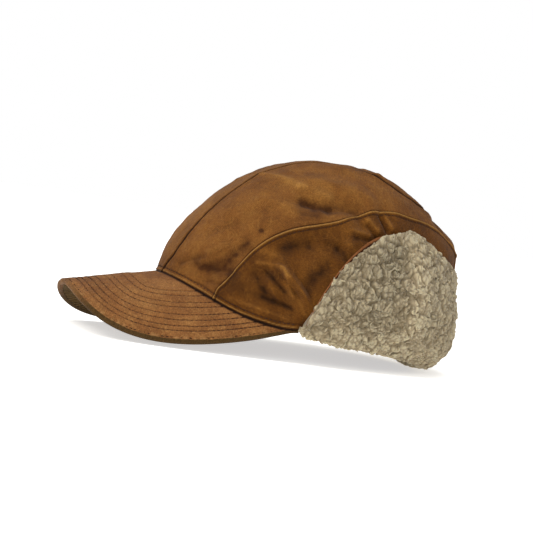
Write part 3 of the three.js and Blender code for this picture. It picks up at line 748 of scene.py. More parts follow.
# %% Peak outline and root
OUTLINE_STEPS, EDGE_STEPS = 240, 601
ROW_DISTANCES = (45.0, 39.8, 32.9, 28.4, 21.9, 17.3, 12.4, 8.7)
EDGE_ROW = 3.4
EDGE_ROLL = PEAK_THICKNESS / 2
END_TAPER, END_FADE, END_TUCK = 0.75, (0.82, 0.99), 0.4


def peak_root(share, depth):
    """Where the board at a depth meets the crown, by share of the way to one end."""
    azimuth = share * (PEAK_END_AZIMUTH - END_TUCK)
    _, across, forward = over_board(on_crown(round_direction(azimuth, board_elevation(azimuth, 0))))
    out, ahead = np.sin(np.radians(azimuth)), np.cos(np.radians(azimuth))

    def clear(t):
        """Whether the board moved outwards by t has come clear of the crown."""
        return outside_crown(board_point(across + t * out, forward + t * ahead, depth)) > PEAK_CLEARANCE

    shift = solve(np.full_like(share, -6.0), np.full_like(share, 12.0), clear)
    return np.stack([across + shift * out, forward + shift * ahead], -1)


corner = peak_root(np.ones(1), 0.0)[0]
quarter = np.linspace(0, math.pi / 2, OUTLINE_STEPS + 1)
outline_across = (abs(corner[0]) + PEAK_END_WIDTH) * np.sin(quarter) ** (2 / PEAK_SQUARENESS)
outline_forward = mix(corner[1], PEAK_LENGTH, np.maximum(np.cos(quarter), 0) ** (2 / PEAK_SQUARENESS))
outline_run = np.concatenate([[0], np.cumsum(np.hypot(np.diff(outline_across), np.diff(outline_forward)))])


def peak_outline(share):
    """Outer edge on the flat board, a superellipse walked at an even pace from the middle."""
    at = np.abs(share) * outline_run[-1]
    across = np.interp(at, outline_run, outline_across) * np.sign(share)
    return np.stack([across, np.interp(at, outline_run, outline_forward)], -1)


# %% Distances from the peak's edge
edge_share = np.linspace(-1, 1, EDGE_STEPS)
edge_line = peak_outline(edge_share)
edge_tangent = unit(np.gradient(edge_line, axis=0))
edge_outward = np.stack([-edge_tangent[:, 1], edge_tangent[:, 0]], -1)


def edge_place(flat):
    """Distance of points of the flat board from its outer edge, and how far along it they lie."""
    away = [length(row[:, None] - edge_line[None]) for row in flat]
    along = np.stack([row.argmin(1) for row in away]) * (2 * outline_run[-1] / (EDGE_STEPS - 1))
    return np.stack([row.min(1) for row in away]), along


def edge_directions(share):
    """Directions square to the outer edge, read between the places where they are known."""
    return unit(np.stack([np.interp(share, edge_share, edge_outward[:, k]) for k in (0, 1)], -1))


def end_taper(share):
    """Share of the thickness, as a column: it drops at both ends, where the board is sewn in."""
    return (1 - END_TAPER * ease(np.abs(share), *END_FADE))[:, None]


print("peak edge runs", round(2 * float(outline_run[-1])), "mm")

# %% [markdown]
# ### Top cloth of the peak
# One grid makes the quilted top, the half-round edge and a narrow lip that turns in underneath.
# The columns run from the crown out to the edge, and the last rows follow a half circle.

# %% Quilting
PUFF, GROOVE, PUCKER = 0.2, 0.42, 0.14


def quilting(away, along, flat):
    """Grooves along the stitch rows and soft puffs between them, in millimetres, with painted shade along
    the grooves and painted highlight on the puckers by the edge row.
    """
    place = np.concatenate([flat, 0 * flat[..., :1]], -1)
    rise = 0.25 * swell(place, 26, 21) + 0.12 * swell(place, 7, 23)
    groove = 0
    for d in ROW_DISTANCES:
        groove = groove + hump(away, d, GROOVE_WIDE)
    edge = hump(away, EDGE_ROW, 0.5)
    pucker = swell(np.stack([along, 0.25 * away, 0 * away], -1), 2.2, 22)
    inside = 1 - ease(away, 46, 50)
    rise = rise + PUFF * inside - GROOVE * groove - 0.2 * edge
    rise = rise + PUCKER * pucker * inside + 0.45 * pucker * hump(away, EDGE_ROW - 0.4, 1.6)
    dark = np.clip(groove + 0.5 * edge * (0.5 + pucker), 0, 1)
    return rise, dark, pucker * hump(away, EDGE_ROW - 0.2, 1.3)


# %% Peak top, wrapped round the edge
TOP_COLUMNS, TOP_ROWS, ROLL_ROWS, LIP_ROWS, LIP = 421, 85, 13, 3, 1.6
share = np.linspace(-1, 1, TOP_COLUMNS)
root, edge = peak_root(share, 0.0), peak_outline(share)
outward, taper = edge_directions(share), end_taper(share)
rim = edge - outward * EDGE_ROLL * taper
v = np.linspace(0, 1, TOP_ROWS)[None, :, None]
flat = mix(root[:, None], rim[:, None], v)
away, along = edge_place(flat)
rise, groove, puckers = quilting(away, along, flat)
fade = ease(away, 0.0, EDGE_ROLL + 0.4)
face = board_point(flat[..., 0], flat[..., 1], -rise * fade)
turn = np.linspace(0, math.pi, ROLL_ROWS + 1)[1:]
swing = flat[:, -1:] + outward[:, None] * (EDGE_ROLL * taper * np.sin(turn))[..., None]
roll = board_point(swing[..., 0], swing[..., 1], EDGE_ROLL * taper * (1 - np.cos(turn)))
back = np.linspace(0, 1, LIP_ROWS + 1)[1:]
lip_flat = swing[:, -1:] - outward[:, None] * (LIP * back)[None, :, None]
lip = board_point(lip_flat[..., 0], lip_flat[..., 1], PEAK_THICKNESS * taper + 0 * lip_flat[..., 0])
outer = np.concatenate([face, roll, lip], 1)
hidden_depth = np.concatenate([
    np.full(TOP_ROWS, 1.9), mix(1.9, 2.1, np.linspace(0, 1, ROLL_ROWS)), np.full(LIP_ROWS, 2.3),
])
hidden_flat = np.concatenate([flat, np.repeat(flat[:, -1:], ROLL_ROWS, 1), lip_flat], 1)
inner = board_point(hidden_flat[..., 0], hidden_flat[..., 1], hidden_depth[None, :] * taper)
around = outer.shape[1] - TOP_ROWS
pad = lambda a, value: np.concatenate([a, np.full((len(a), around), value)], 1)
side_rim = mix(0.45, 1, ease(np.abs(edge[:, :1]), 20, 60))
# The puckers by the edge row are painted paler, as painted highlight, and the grooves and the line at the
# root darker, as painted shade.
peak_marks = {
    "wear_and_highlight": pad(np.clip(1.1 * puckers, 0, 1), 0.0),
    "groove_shade": pad(groove * 0.6 + 1.1 * hump(length(flat - root[:, None]), 0, 1.2), 0.0),
    "edge": pad(1 - ease(away, EDGE_ROLL - 0.2, EDGE_ROLL + 0.9), 1.0) * side_rim,
}
peak_uv = np.concatenate([flat, swing, lip_flat], 1)
pieces["peak_top"] = shell("sewn_peak_top", outer, inner, peak_marks, peak_uv, smooth_angle=75)

# %% [markdown]
# ### Under cloth of the peak
# The lower cloth is sewn to the turned-in lip. It has to go round the inside of the bend, so its
# spare length stands in small gathers at the edge and dies out towards the crown.

# %% Peak underside with its gathers
UNDER_COLUMNS, UNDER_ROWS = 421, 49
# Length, height and reach of the gathers, and how far the cloth goes in under the lip
GATHER, GATHER_RISE, GATHER_REACH, UNDER_LIP = 3.4, 0.45, 13.0, 0.6
share = np.linspace(-1, 1, UNDER_COLUMNS)
edge, outward, taper = peak_outline(share), edge_directions(share), end_taper(share)
foot = edge - outward * (EDGE_ROLL + LIP - UNDER_LIP)
root = peak_root(share, PEAK_THICKNESS * taper[:, 0])
v = np.linspace(0, 1, UNDER_ROWS)[None, :, None]
flat = mix(root[:, None], foot[:, None], v)
away = edge_place(flat)[0]
run = share * outline_run[-1]
wobble = swell(np.stack([run, 0 * run, 0 * run], -1), 7.0, 31)
phase = 2 * math.pi * run / GATHER + 2.2 * wobble
fade = np.exp(-((away - EDGE_ROLL - LIP) / GATHER_REACH))
gather = GATHER_RISE * np.sin(phase)[:, None] * fade
dip = 0.9 * (1 - ease(away, EDGE_ROLL + LIP - UNDER_LIP, EDGE_ROLL + LIP + 1.6))
depth = (PEAK_THICKNESS + 0.25 - dip + gather) * taper
outer = board_point(flat[..., 0], flat[..., 1], depth)
inner = board_point(flat[..., 0], flat[..., 1], 2.5 * taper + 0 * depth)
# The gathers' crests are painted paler and their valleys darker: painted highlight and painted shade.
under_marks = {
    "wear_and_highlight": np.clip(gather * 2, 0, 1), "groove_shade": np.clip(-gather * 1.6, 0, 1),
    "edge": 1 - ease(away, 2.0, 9.0),
}
pieces["peak_under"] = shell("sewn_peak_under", outer, inner, under_marks, flat)

# %% [markdown]
# ## The flap's cloth
# The flap is one long piece that goes round the ears and the neck. Here it is folded up against
# the crown, so its canvas faces the crown and its fleece faces out. Only a narrow edge of the
# canvas shows, along the sloping front and the top. It could be folded by a simulation, but it
# is held by the crown all along, so it is drawn as a second skin: azimuth, share of the height
# and distance out from the crown.

# %% Flap frame
# Azimuth of the flap's upper edge on the crown, and its elevation there
FLAP_EDGE = np.array([
    (80.4, 0.6), (81.2, 6.0), (82.6, 12.7), (84.6, 19.4), (87.6, 26.9), (91.8, 33.8), (96.8, 39.2),
    (101.8, 42.8), (107.0, 45.0), (113.0, 45.6), (126.0, 45.0), (130.0, 42.6), (137.0, 38.8),
    (143.0, 35.0), (155.0, 33.2), (180.0, 33.0),
], float)
# Share of the height, how far the cloth stands off the crown
FLAP_SECTION = np.array([
    (0, 0), (0.1, 1.2), (0.22, 3.6), (0.36, 5.2), (0.54, 3.8), (0.72, 2.0), (0.87, 0.6),
    (0.96, 0), (1, 0),
], float)
FLAP_CLOTH, FLAP_CLOTH_GAP, FLAP_LEAST, PILE_LEAST = 1.2, 0.7, 3.5, 3.4
FLAP_FRONT, FLAP_FULL_AZIMUTH, FLAP_FRONT_SHARE = 80.4, 145.0, 0.52
RIDGE_AZIMUTH, RIDGE_WIDE, RIDGE_RISE = 127.0, 7.0, 2.2


# %% Places on the flap
def from_front(azimuth):
    """Azimuth counted from the front to either side, so that both sides read one table."""
    return np.minimum(azimuth, 360 - azimuth)


def round_the_back(columns, front, power):
    """Azimuths from one front end round the back to the other, spread by a power of the share."""
    half = np.linspace(-1, 1, columns)
    return 180 + np.sign(half) * np.abs(half) ** power * (180 - front)


def flap_fullness(azimuth):
    """How full the folded flap is: about half at its front ends, and 1 round the back."""
    return mix(FLAP_FRONT_SHARE, 1, ease(from_front(azimuth), FLAP_FRONT, FLAP_FULL_AZIMUTH))


def flap_ridge(azimuth, up):
    """Soft upright ridge where the ear part passes into the neck part."""
    bell = hump(from_front(azimuth), RIDGE_AZIMUTH, RIDGE_WIDE)
    return RIDGE_RISE * bell * np.sin(math.pi * np.clip(up, 0, 1))


def flap_range(azimuth):
    """Elevations of the fold and of the upper edge."""
    a = from_front(azimuth)
    low = elevation_at_height(azimuth, hem_height(a))
    return low, np.maximum(read(FLAP_EDGE, 1, a), low + FLAP_LEAST)


def flap_point(azimuth, up, offset, below):
    """Point by azimuth, share of the height, distance out from the crown and drop below it."""
    low, high = flap_range(azimuth)
    p = on_crown(round_direction(azimuth[:, None], mix(low[:, None], high[:, None], up)))
    p = p + crown_normal(p) * offset[..., None]
    p[..., 2] -= below
    return p


# %% Flap cloth
CLOTH_COLUMNS, CLOTH_ROWS, CLOTH_FOOT = 345, 41, 0.012
azimuth = round_the_back(CLOTH_COLUMNS, FLAP_FRONT, 0.8)
up = mix(CLOTH_FOOT, 1, crowded(CLOTH_ROWS, 0.3))[None, :] + 0 * azimuth[:, None]
stand = read(FLAP_SECTION, 1, up) * flap_fullness(azimuth)[:, None]
stand = FLAP_CLOTH_GAP + stand + flap_ridge(azimuth[:, None], up)
outer = flap_point(azimuth, up, stand + FLAP_CLOTH, 0.0)
inner = flap_point(azimuth, up, stand, 0.0)
drop = length(outer - outer[:, -1:])
bulge = 0.35 * hump(drop, 1.2, 0.9) - 0.25 * hump(drop, 0, 0.5)
outer = outer + crown_normal(outer) * (bulge + 0.12 * swell(outer, 3.5, 41))[..., None]
# The middle of the edge's roll is painted paler and the cloth under it darker: painted highlight and
# painted shade.
cloth_marks = {"wear_and_highlight": hump(drop, 0.9, 0.8), "groove_shade": hump(drop, 3.2, 1.4)}
across = np.radians(azimuth)[:, None] * USUAL_REACH + 0 * up
pieces["flap_cloth"] = shell("sewn_flap_cloth", outer, inner, cloth_marks, np.stack([across, drop], -1))

# %% [markdown]
# ## The fleece
# Curly pile is a mat of short locks. Hair strands would be thousands of times too many, so the mat
# is a closed surface pushed out into rounded clumps of two sizes, and nearly three thousand small
# bent locks lie on it to break up its outline. How high a point stands is kept as an attribute,
# because the colour is painted darker deep between its curls, as painted shade.

# %% Section of the fleece
PILE_COLUMNS, PILE_ROWS, LAST_STEP = 529, 157, 13
# Step, share of the height, distance out, the part of it that the fullness scales, drop
HEIGHT_SHARE, OUT, OUT_BY_FULLNESS, DROP = 1, 2, 3, 4
FLEECE_RIM = np.array([
    (0, 0, -5.3, 0, -3.5), (1, 0, -5.3, 0, 0.6), (2, 0, -3.8, 0, 3.2), (3, 0, -0.8, 0, 4.2),
    (4, 0, 0.6, 3.0, 3.4), (5, 0, 0.0, 5.6, 0.0), (6, 0.1, 0, 9.8, 0), (7, 0.22, 0, 13.2, 0),
    (8, 0.36, 0, 14.8, 0), (9, 0.54, 0, 13.2, 0), (10, 0.72, 0, 10.6, 0), (11, 0.87, 0, 7.6, 0),
    (12, 0.945, 0, 5.0, 0), (13, 0.98, 1.0, 1.0, 0),
], float)
FLEECE_FRONT, FRONT_THINS, TRIM_SHOWS = 78.0, 4.0, 2.2


def front_end(azimuth):
    """0 at the flap's two front ends, where the pile thins out to nothing, and 1 a little behind."""
    return ease(from_front(azimuth), FLEECE_FRONT, FLEECE_FRONT + FRONT_THINS)[:, None]


def fleece_section(azimuth, step):
    """Points of the pile's outer form, from the leaf inside the rim up, and their room for pile."""
    full = flap_fullness(azimuth)[:, None]
    start = front_end(azimuth)
    column = {key: read(FLEECE_RIM, key, step)[None, :] for key in range(1, FLEECE_RIM.shape[1])}
    least = PILE_LEAST * ease(step, 4.5, 5.0) * (1 - ease(step, 12, LAST_STEP))
    a = from_front(azimuth)[:, None]
    fold, edge = flap_range(azimuth)
    trim = TRIM_SHOWS * (1.7 - 0.7 * ease(a, 84, 93)) * (1 - ease(a, 104, 112)) * ease(step, 7, 12.5)
    trim = trim / (np.radians(edge - fold)[:, None] * USUAL_REACH)
    cover = (0.03 * ease(a, 101, 113) + 0.11 * hump(a, 137, 13)) * ease(step, 9, LAST_STEP)
    up = np.clip(column[HEIGHT_SHARE] - trim + cover, 0, 1.12)
    ridge = flap_ridge(azimuth[:, None], up)
    by_fullness = np.maximum(column[OUT_BY_FULLNESS] * full, least)
    offset = mix(0.2, 1, start) * column[OUT] + mix(0.45, 1, start) * by_fullness + ridge
    lifted = (1 - 0.7 * ease(a, 104, 128) * (1 - ease(a, 166, 177))) * mix(0.25, 1, start)
    cloth = FLAP_CLOTH_GAP + FLAP_CLOTH + read(FLAP_SECTION, 1, up) * full + ridge
    return flap_point(azimuth, up, offset, column[DROP] * lifted), offset - cloth


# The steps are spread so that the rows lie at even distances at the middle of the ear
even = np.linspace(0, LAST_STEP, 400)
sample = fleece_section(np.array([150.0]), even)[0][0]
reach = np.concatenate([[0], np.cumsum(length(np.diff(sample, axis=0)))])
step = np.interp(np.linspace(0, reach[-1], PILE_ROWS), reach, even)
azimuth = round_the_back(PILE_COLUMNS, FLEECE_FRONT, 0.9)
base, room = fleece_section(azimuth, step)
base_normal = unit(np.cross(np.gradient(base, axis=0), np.gradient(base, axis=1)))
midpoint = (PILE_COLUMNS // 2, PILE_ROWS // 2)
base_normal = base_normal * np.sign((base_normal[midpoint] * base[midpoint]).sum())
print(f"fleece {reach[-1]:.0f} mm from its leaf inside the rim to its upper edge")

# %% Height of the pile
LUMP, CURL, PILE_BACKING, PILE_DEPTH = 8.2, 4.0, 0.35, 3.2


def pile_height(points):
    """Rounded clumps of two sizes, the small ones riding on the large ones, from 0 to about 1."""
    bent = points + 1.7 * np.stack([swell(points, 5.0, s) for s in (51, 52, 53)], -1)
    near, second = clumps(bent, LUMP, 54)
    lump = np.sqrt(np.clip(1 - (near / 1.05) ** 2, 0, 1)) * ease(second - near, -0.05, 0.3)
    near, second = clumps(bent + 0.5 * points[..., ::-1], CURL, 55)
    curl = np.sqrt(np.clip(1 - (near / 1.05) ** 2, 0, 1)) * ease(second - near, -0.1, 0.4)
    return 0.5 * lump + 0.5 * curl


# The mat sinks by what room there is over the canvas, and the clumps rise out of it
height = pile_height(base)
fine = 0.12 * swell(base, 1.5, 56)
side_azimuth = from_front(azimuth)[:, None]
sink = np.maximum(room - PILE_BACKING, 1.9 * (1 - ease(step, 4.3, 5.2)))
sink = np.clip(sink, 0.3, PILE_DEPTH)
push = mix(1.5, 3.0, sink / PILE_DEPTH) * height - sink + fine + 0.2 * sink * swell(base, 17, 57)
upright = ease(step, 6, 7.5) * (1 - ease(step, 11, 12.6))
push = push + 1.3 * hump(side_azimuth, RIDGE_AZIMUTH - 1, 5) * upright
push = push - 0.8 * hump(side_azimuth, 115, 7) * upright
thinned = mix(0.35, 1, front_end(azimuth))
outer = base + base_normal * (push * thinned)[..., None]
inner = base - base_normal * (PILE_DEPTH * thinned)[..., None]


def keep_off_floor(points, least):
    """Presses what would reach below the table flat on it."""
    drop = np.minimum((tip(points) + REST_SHIFT)[..., 2] - least, 0)
    up = np.array([0, -math.sin(REST_PITCH), math.cos(REST_PITCH)])
    return points - drop[..., None] * up


# %% Fleece surface
FLOOR_GAP, STEP_MM = 0.05, 8
outer = keep_off_floor(outer, FLOOR_GAP + 0.5 * (1 - height))
inner = keep_off_floor(inner, 1.2)
# Painted shade in the hollow of the ear, and painted light along the ridge behind it and low down by the
# table
hollow = 0.55 * hump(side_azimuth, 111, 17) * ease(step, 5.5, 8) * (1 - 0.7 * ease(step, 11.3, 12.4))
hollow = hollow + 0.5 * hump(side_azimuth, 114, 8) * hump(step, 10.7, 1.2)
bright = 1.3 * hump(side_azimuth, RIDGE_AZIMUTH - 1, 4.5) * upright
shade_of_pile = bright - hollow + 0.45 * (1 - ease(step, 5.2, 7.8))
# The pile's tone is random, plus that painted shade and light.
pile_tone = 0.62 + 0.25 * swell(base, 9, 58) + 0.5 * shade_of_pile
pile_marks = {"height": np.clip(height + 0.15, 0, 1), "tone": pile_tone}
across = np.radians(azimuth)[:, None] * USUAL_REACH + 0 * height
pile_uv = np.stack([across, 0 * across + step * STEP_MM], -1)
pieces["flap_fleece"] = shell(
    "curly_flap_fleece", outer, inner, pile_marks, pile_uv, smooth_angle=0,
)

# %% [markdown]
# ## Locks on the fleece
# Each lock is a short bent tube. Its foot is a random place on the mat, chosen by area so that
# they lie evenly, and its direction, length, height and bend are random too. All of them are one
# array: lock by ring by corner.

# %% Tubes
LOCKS, RINGS, SIDES = 2800, 6, 6


def tubes(centre, right, up, radius):
    """Points and faces of many short tubes: centre, right and up by tube and ring."""
    turn = np.linspace(0, 2 * math.pi, SIDES, endpoint=False)
    ring = np.cos(turn)[:, None] * right[..., None, :] + np.sin(turn)[:, None] * up[..., None, :]
    points = centre[..., None, :] + ring * radius[..., None, None]
    count, rings = centre.shape[:2]
    index = np.arange(count * rings * SIDES).reshape(count, rings, SIDES)
    a, b = index[:, :-1], index[:, 1:]
    wall = np.stack([a, np.roll(a, -1, 2), np.roll(b, -1, 2), b], -1).reshape(-1, 4)
    ends = [index[:, k][:, (0, j, j + 1)] for k in (0, rings - 1) for j in range(1, SIDES - 1)]
    half = len(ends) // 2
    caps = np.concatenate([e[:, ::-1] for e in ends[:half]] + ends[half:])
    return points.reshape(-1, 3), [wall, caps]


# %% Places of the locks
# They start at this step of the section, a little inside the fold
face_from = int(np.searchsorted(step, 3.2))
grid, normals, high = outer[:, face_from:], base_normal[:, face_from:], height[:, face_from:]
area = length(np.cross(grid[1:, :-1] - grid[:-1, :-1], grid[:-1, 1:] - grid[:-1, :-1]))
area = area * ease(side_azimuth[:-1], FLEECE_FRONT + 1.5, FLEECE_FRONT + 9)
chance = np.cumsum(area.ravel()) / area.sum()
pick = np.searchsorted(chance, (np.arange(LOCKS) + rng.random(LOCKS)) / LOCKS)
i, j = np.unravel_index(np.minimum(pick, area.size - 1), area.shape)
foot = grid[i, j] + (grid[i + 1, j] - grid[i, j]) * rng.random((LOCKS, 1))
foot = foot + (grid[i, j + 1] - grid[i, j]) * rng.random((LOCKS, 1))
normal = normals[i, j]
spin = rng.random(LOCKS) * 2 * math.pi
flat_a = unit(np.cross(normal, np.array([0.31, 0.2, 0.93])))
flat_b = np.cross(normal, flat_a)
ahead = flat_a * np.cos(spin)[:, None] + flat_b * np.sin(spin)[:, None]
aside = np.cross(normal, ahead)

# %% Locks
# Millimetres long, high in the middle, bent aside and thick
long = rng.uniform(2.8, 5.8, LOCKS)[:, None]
rise = rng.uniform(0.1, 0.6, LOCKS)[:, None] * (0.4 + 0.9 * high[i, j][:, None])
curve = rng.uniform(-2.2, 2.2, LOCKS)[:, None]
thick = rng.uniform(0.5, 1.0, LOCKS)[:, None]
q = np.linspace(0, 1, RINGS)[None, :]
bow = np.sin(math.pi * q)
centre = (
    foot[:, None]
    + ahead[:, None] * ((q - 0.5) * long)[..., None]
    + aside[:, None] * (curve * bow)[..., None]
    + normal[:, None] * (rise * bow - 0.85 * thick)[..., None]
)
along = unit(np.gradient(centre, axis=1))
right = unit(np.cross(along, normal[:, None] + 0 * along))
lock_up = np.cross(right, along)
radius = thick * (0.35 + 0.65 * bow)
lock_height = np.clip(high[i, j][:, None] + 0.35 * bow + 0.05, 0, 1)
# A lock's tone is random, plus the painted shade and light of the pile under it.
tone = 0.37 + 0.5 * rng.random(LOCKS) + 0.5 * shade_of_pile[:, face_from:][i, j]
tone = np.repeat(tone, RINGS * SIDES)
points, faces = tubes(centre, right, lock_up, radius)
points = keep_off_floor(points, FLOOR_GAP)
lock_marks = {"height": np.repeat(lock_height.ravel(), SIDES), "tone": tone}
pieces["fleece_locks"] = make_piece("fleece_locks", points, faces, lock_marks, smooth_angle=0)

# %% [markdown]
# ## Stitches
# A machine stitch is a short length of thread that sinks into the cloth at both ends. A painted
# dashed line would lie flat, so a path with its outward direction is cut into such lengths, and
# each becomes a small bent tube.

# %% Stitch paths
# Thread's half thickness, a stitch's length and the distance from one to the next
THREAD, STITCH, PITCH = 0.3, 2.3, 3.0


def stitch_tubes(path, outward):
    """Centres, right, up and radius of every stitch along a path, by stitch and ring."""
    run = np.concatenate([[0], np.cumsum(length(np.diff(path, axis=0)))])
    q = np.linspace(0, 1, RINGS)[None, :]
    at = np.arange(PITCH / 2, run[-1] - STITCH, PITCH)[:, None] + q * STITCH
    along_path = lambda values, s: np.stack([np.interp(s, run, values[:, k]) for k in range(3)], -1)
    up = unit(along_path(outward, at))
    ahead = unit(along_path(path, at + 0.3) - along_path(path, at - 0.3))
    right = unit(np.cross(ahead, up))
    bow = np.sin(math.pi * q)
    centre = along_path(path, at) + up * (THREAD * (1.5 * bow - 0.9))[..., None]
    return centre, right, up, np.full(at.shape, THREAD) * (0.7 + 0.3 * bow)


def sew(name, lines):
    """One piece from the stitches of several paths."""
    parts = [stitch_tubes(*line) for line in lines]
    centre, right, up, radius = (np.concatenate(part) for part in zip(*parts))
    points, faces = tubes(centre, right, up, radius)
    return make_piece(name, points, faces, smooth_angle=0)


# %% [markdown]
# ### Seams of the crown
# One row holds each lower panel's edge, and one runs round the front just above the hem's roll.
# Both are laid on the cloth with its folds, a little below the surface.

# %% Stitches of the side seams and the front hem
SIDE_SUNK, HEM_SUNK, HEM_END = 0.1, 0.25, 77
crown_lines = []
for side in (1, -1):
    high, low, _ = side_seam_lines(side, np.linspace(0, 0.93, 500))
    span = length(on_crown(high) - on_crown(low))
    p, n = cloth_at(unit(mix(high, low, (SIDE_STITCH / span)[:, None])))
    clear = over_board(p)[0] > HEM_STITCH + 1.5
    crown_lines.append((p[clear] - SIDE_SUNK * n[clear], n[clear]))
azimuth = np.linspace(-HEM_END, HEM_END, 400)
p, n = cloth_at(round_direction(azimuth, board_elevation(azimuth, HEM_STITCH)))
crown_lines.append((p - HEM_SUNK * n, n))
pieces["crown_stitches"] = sew("crown_stitches", crown_lines)

# %% [markdown]
# ### Rows on the peak
# The rows are the outline moved inwards. Where a moved line would cross itself or run into the
# crown it is left out, and what remains is cut into separate rows.

# %% Stitches of the peak
ROW_SUNK, CROWN_FREE, ROW_BREAK, FEWEST_POINTS = 0.25, 1.2, 4, 12
peak_lines = []
for distance in (*ROW_DISTANCES, EDGE_ROW):
    line = edge_line - edge_outward * distance
    free = np.abs(edge_place(line[None])[0][0] - distance) < 0.4
    surface = board_point(line[:, 0], line[:, 1], np.full(len(line), ROW_SUNK))
    free &= outside_crown(surface) > CROWN_FREE
    line = line[free]
    surface = surface[free]
    outward = unit(board_point(line[:, 0], line[:, 1], np.full(len(line), -1.0)) - surface)
    breaks = np.flatnonzero(length(np.diff(surface, axis=0)) > ROW_BREAK) + 1
    for part, part_up in zip(np.split(surface, breaks), np.split(outward, breaks)):
        if len(part) > FEWEST_POINTS:
            peak_lines.append((part, part_up))
pieces["peak_stitches"] = sew("peak_stitches", peak_lines)
print(len(peak_lines), "rows on the peak")

# %% [markdown]
# ## Materials
# Hex colours are what the eye sees on a screen, and Blender mixes light in linear values, so one
# function turns one into the other. One helper adds a node with its settings and its links. A
# wave texture counts its bands in its own way, so a third function finds the scale for a distance
# in millimetres.

# %% Material helpers
# The colour inputs of a Mix node and its colour output, which have the names of other sockets
A, B, MIXED = 6, 7, 2


def colour(hex_value, alpha=1.0):
    """sRGB hex to linear values."""
    parts = [int(hex_value[k : k + 2], 16) / 255 for k in (1, 3, 5)]
    return (*(c / 12.92 if c <= 0.04045 else ((c + 0.055) / 1.055) ** 2.4 for c in parts), alpha)


def node(tree, kind, inputs, **settings):
    """Adds a node; an input is a value, or another node's output to link."""
    made = tree.nodes.new("ShaderNode" + kind)
    for key, value in settings.items():
        setattr(made, key, value)
    for key, value in inputs.items():
        if isinstance(value, bpy.types.NodeSocket):
            tree.links.new(value, made.inputs[key])
        else:
            made.inputs[key].default_value = value
    return made


def wave_scale(mm):
    """Scale of a wave texture for bands this far apart: the node draws one each 2 pi / 20."""
    return 2 * math.pi / 20 / (mm / 1000)


def blank_material(name):
    """A new material whose node tree is empty, and that tree."""
    material = bpy.data.materials.new(name)
    material.use_nodes = True
    material.node_tree.nodes.clear()
    return material, material.node_tree


def finish_material(tree, shader):
    """Links the shader to the output of its tree."""
    node(tree, "OutputMaterial", {"Surface": shader.outputs[0]})


# %% [markdown]
# ### Waxed canvas
# Cotton canvas, plain woven and soaked in wax: dull, with paler bloom where it is rubbed. Its
# creases get painted shade in their valleys and painted highlight on their ridges, with some dark
# wax. The threads are about 0.4 mm apart, too fine for the render, so the weave is drawn at 1.2
# mm. The patches are cloudy noise of three sizes, and the paler roll of a seam, as wear and
# painted highlight, and the painted shade at the bottom of a groove come from the attributes that
# the panels carry.

# %% Tones mixed by a pattern
def tinted(tree, shade, patterns, steps, tones):
    """Mixes tones into a colour in turn, each by how far its pattern is from one value to another."""
    for pattern, start, end, most, tone in steps:
        share = node(tree, "MapRange", {
            "Value": patterns[pattern], "From Min": start, "From Max": end, "To Max": most,
        }).outputs[0]
        made = node(tree, "Mix", {0: share, A: shade, B: colour(tones[tone])}, data_type="RGBA")
        shade = made.outputs[MIXED]
    return shade


# %% Patterns in the canvas
WEAVE_MM = 1.2


def canvas_patterns(tree):
    """Noise in clouds, patches and grain, thin veins, the weave, and the marks of the panels."""
    place = node(tree, "TexCoord", {}).outputs["Object"]
    cloth = node(tree, "UVMap", {}, uv_map="Cloth").outputs[0]
    patterns = {
        mark: node(tree, "Attribute", {}, attribute_name=mark).outputs["Fac"]
        for mark in ("wear_and_highlight", "groove_shade", "crease", "edge")
    }
    noises = {
        "cloud": {"Scale": 1 / 0.034, "Detail": 4, "Roughness": 0.6, "Distortion": 0.6},
        "patch": {"Scale": 1 / 0.010, "Detail": 3, "Roughness": 0.55},
        "grain": {"Scale": 1 / 0.0012, "Detail": 3, "Roughness": 0.7},
        "veins": {"Scale": 1 / 0.015, "Detail": 3, "Distortion": 1.4},
    }
    for key, settings in noises.items():
        patterns[key] = node(tree, "TexNoise", {"Vector": place, **settings}).outputs["Fac"]
    # A vein is where its noise passes through the middle
    middle = node(tree, "Math", {0: patterns["veins"], 1: 0.5}, operation="SUBTRACT")
    patterns["vein"] = node(tree, "Math", {0: middle.outputs[0]}, operation="ABSOLUTE").outputs[0]
    weft, warp = [
        node(tree, "TexWave", {
            "Vector": cloth, "Scale": wave_scale(WEAVE_MM), "Distortion": 1.2, "Detail": 1,
        }, bands_direction=way).outputs["Fac"]
        for way in ("X", "Y")
    ]
    patterns["weave"] = node(tree, "Math", {0: weft, 1: warp}, operation="MULTIPLY").outputs[0]
    return patterns


# %% Waxed canvas
# Pattern, the two values between which the tone fades in, how much of it at most, and the tone
# The crease steps paint shade in the valleys and highlight on the ridges, with some dark wax marks; the
# groove steps are painted shade, darkest in a seam's line; the rubbed rolls are paler, as wear and painted
# highlight.
CANVAS_STEPS = (
    ("cloud", 0.46, 0.70, 0.36, "dark"), ("patch", 0.50, 0.72, 0.26, "light"),
    ("patch", 0.48, 0.28, 0.24, "dark"), ("cloud", 0.50, 0.32, 0.25, "light"),
    ("vein", 0.018, 0.0, 0.3, "light"), ("edge", 0.1, 0.9, 0.95, "rim"),
    ("crease", 0.04, 0.85, 0.88, "dark"), ("crease", -0.05, -0.9, 0.85, "light"),
    ("crease", -0.5, -1.4, 0.3, "worn_highlight"), ("wear_and_highlight", 0.1, 1.0, 0.8, "worn_highlight"),
    ("groove_shade", 0.05, 0.6, 0.7, "dark"), ("groove_shade", 0.6, 0.95, 0.95, "seam"),
)
RIM_OLIVE, SEAM_SHADOW, CANVAS_ROUGHNESS, GRAIN_SPREAD = "#3f2e15", "#1d0e06", 0.8, 0.27


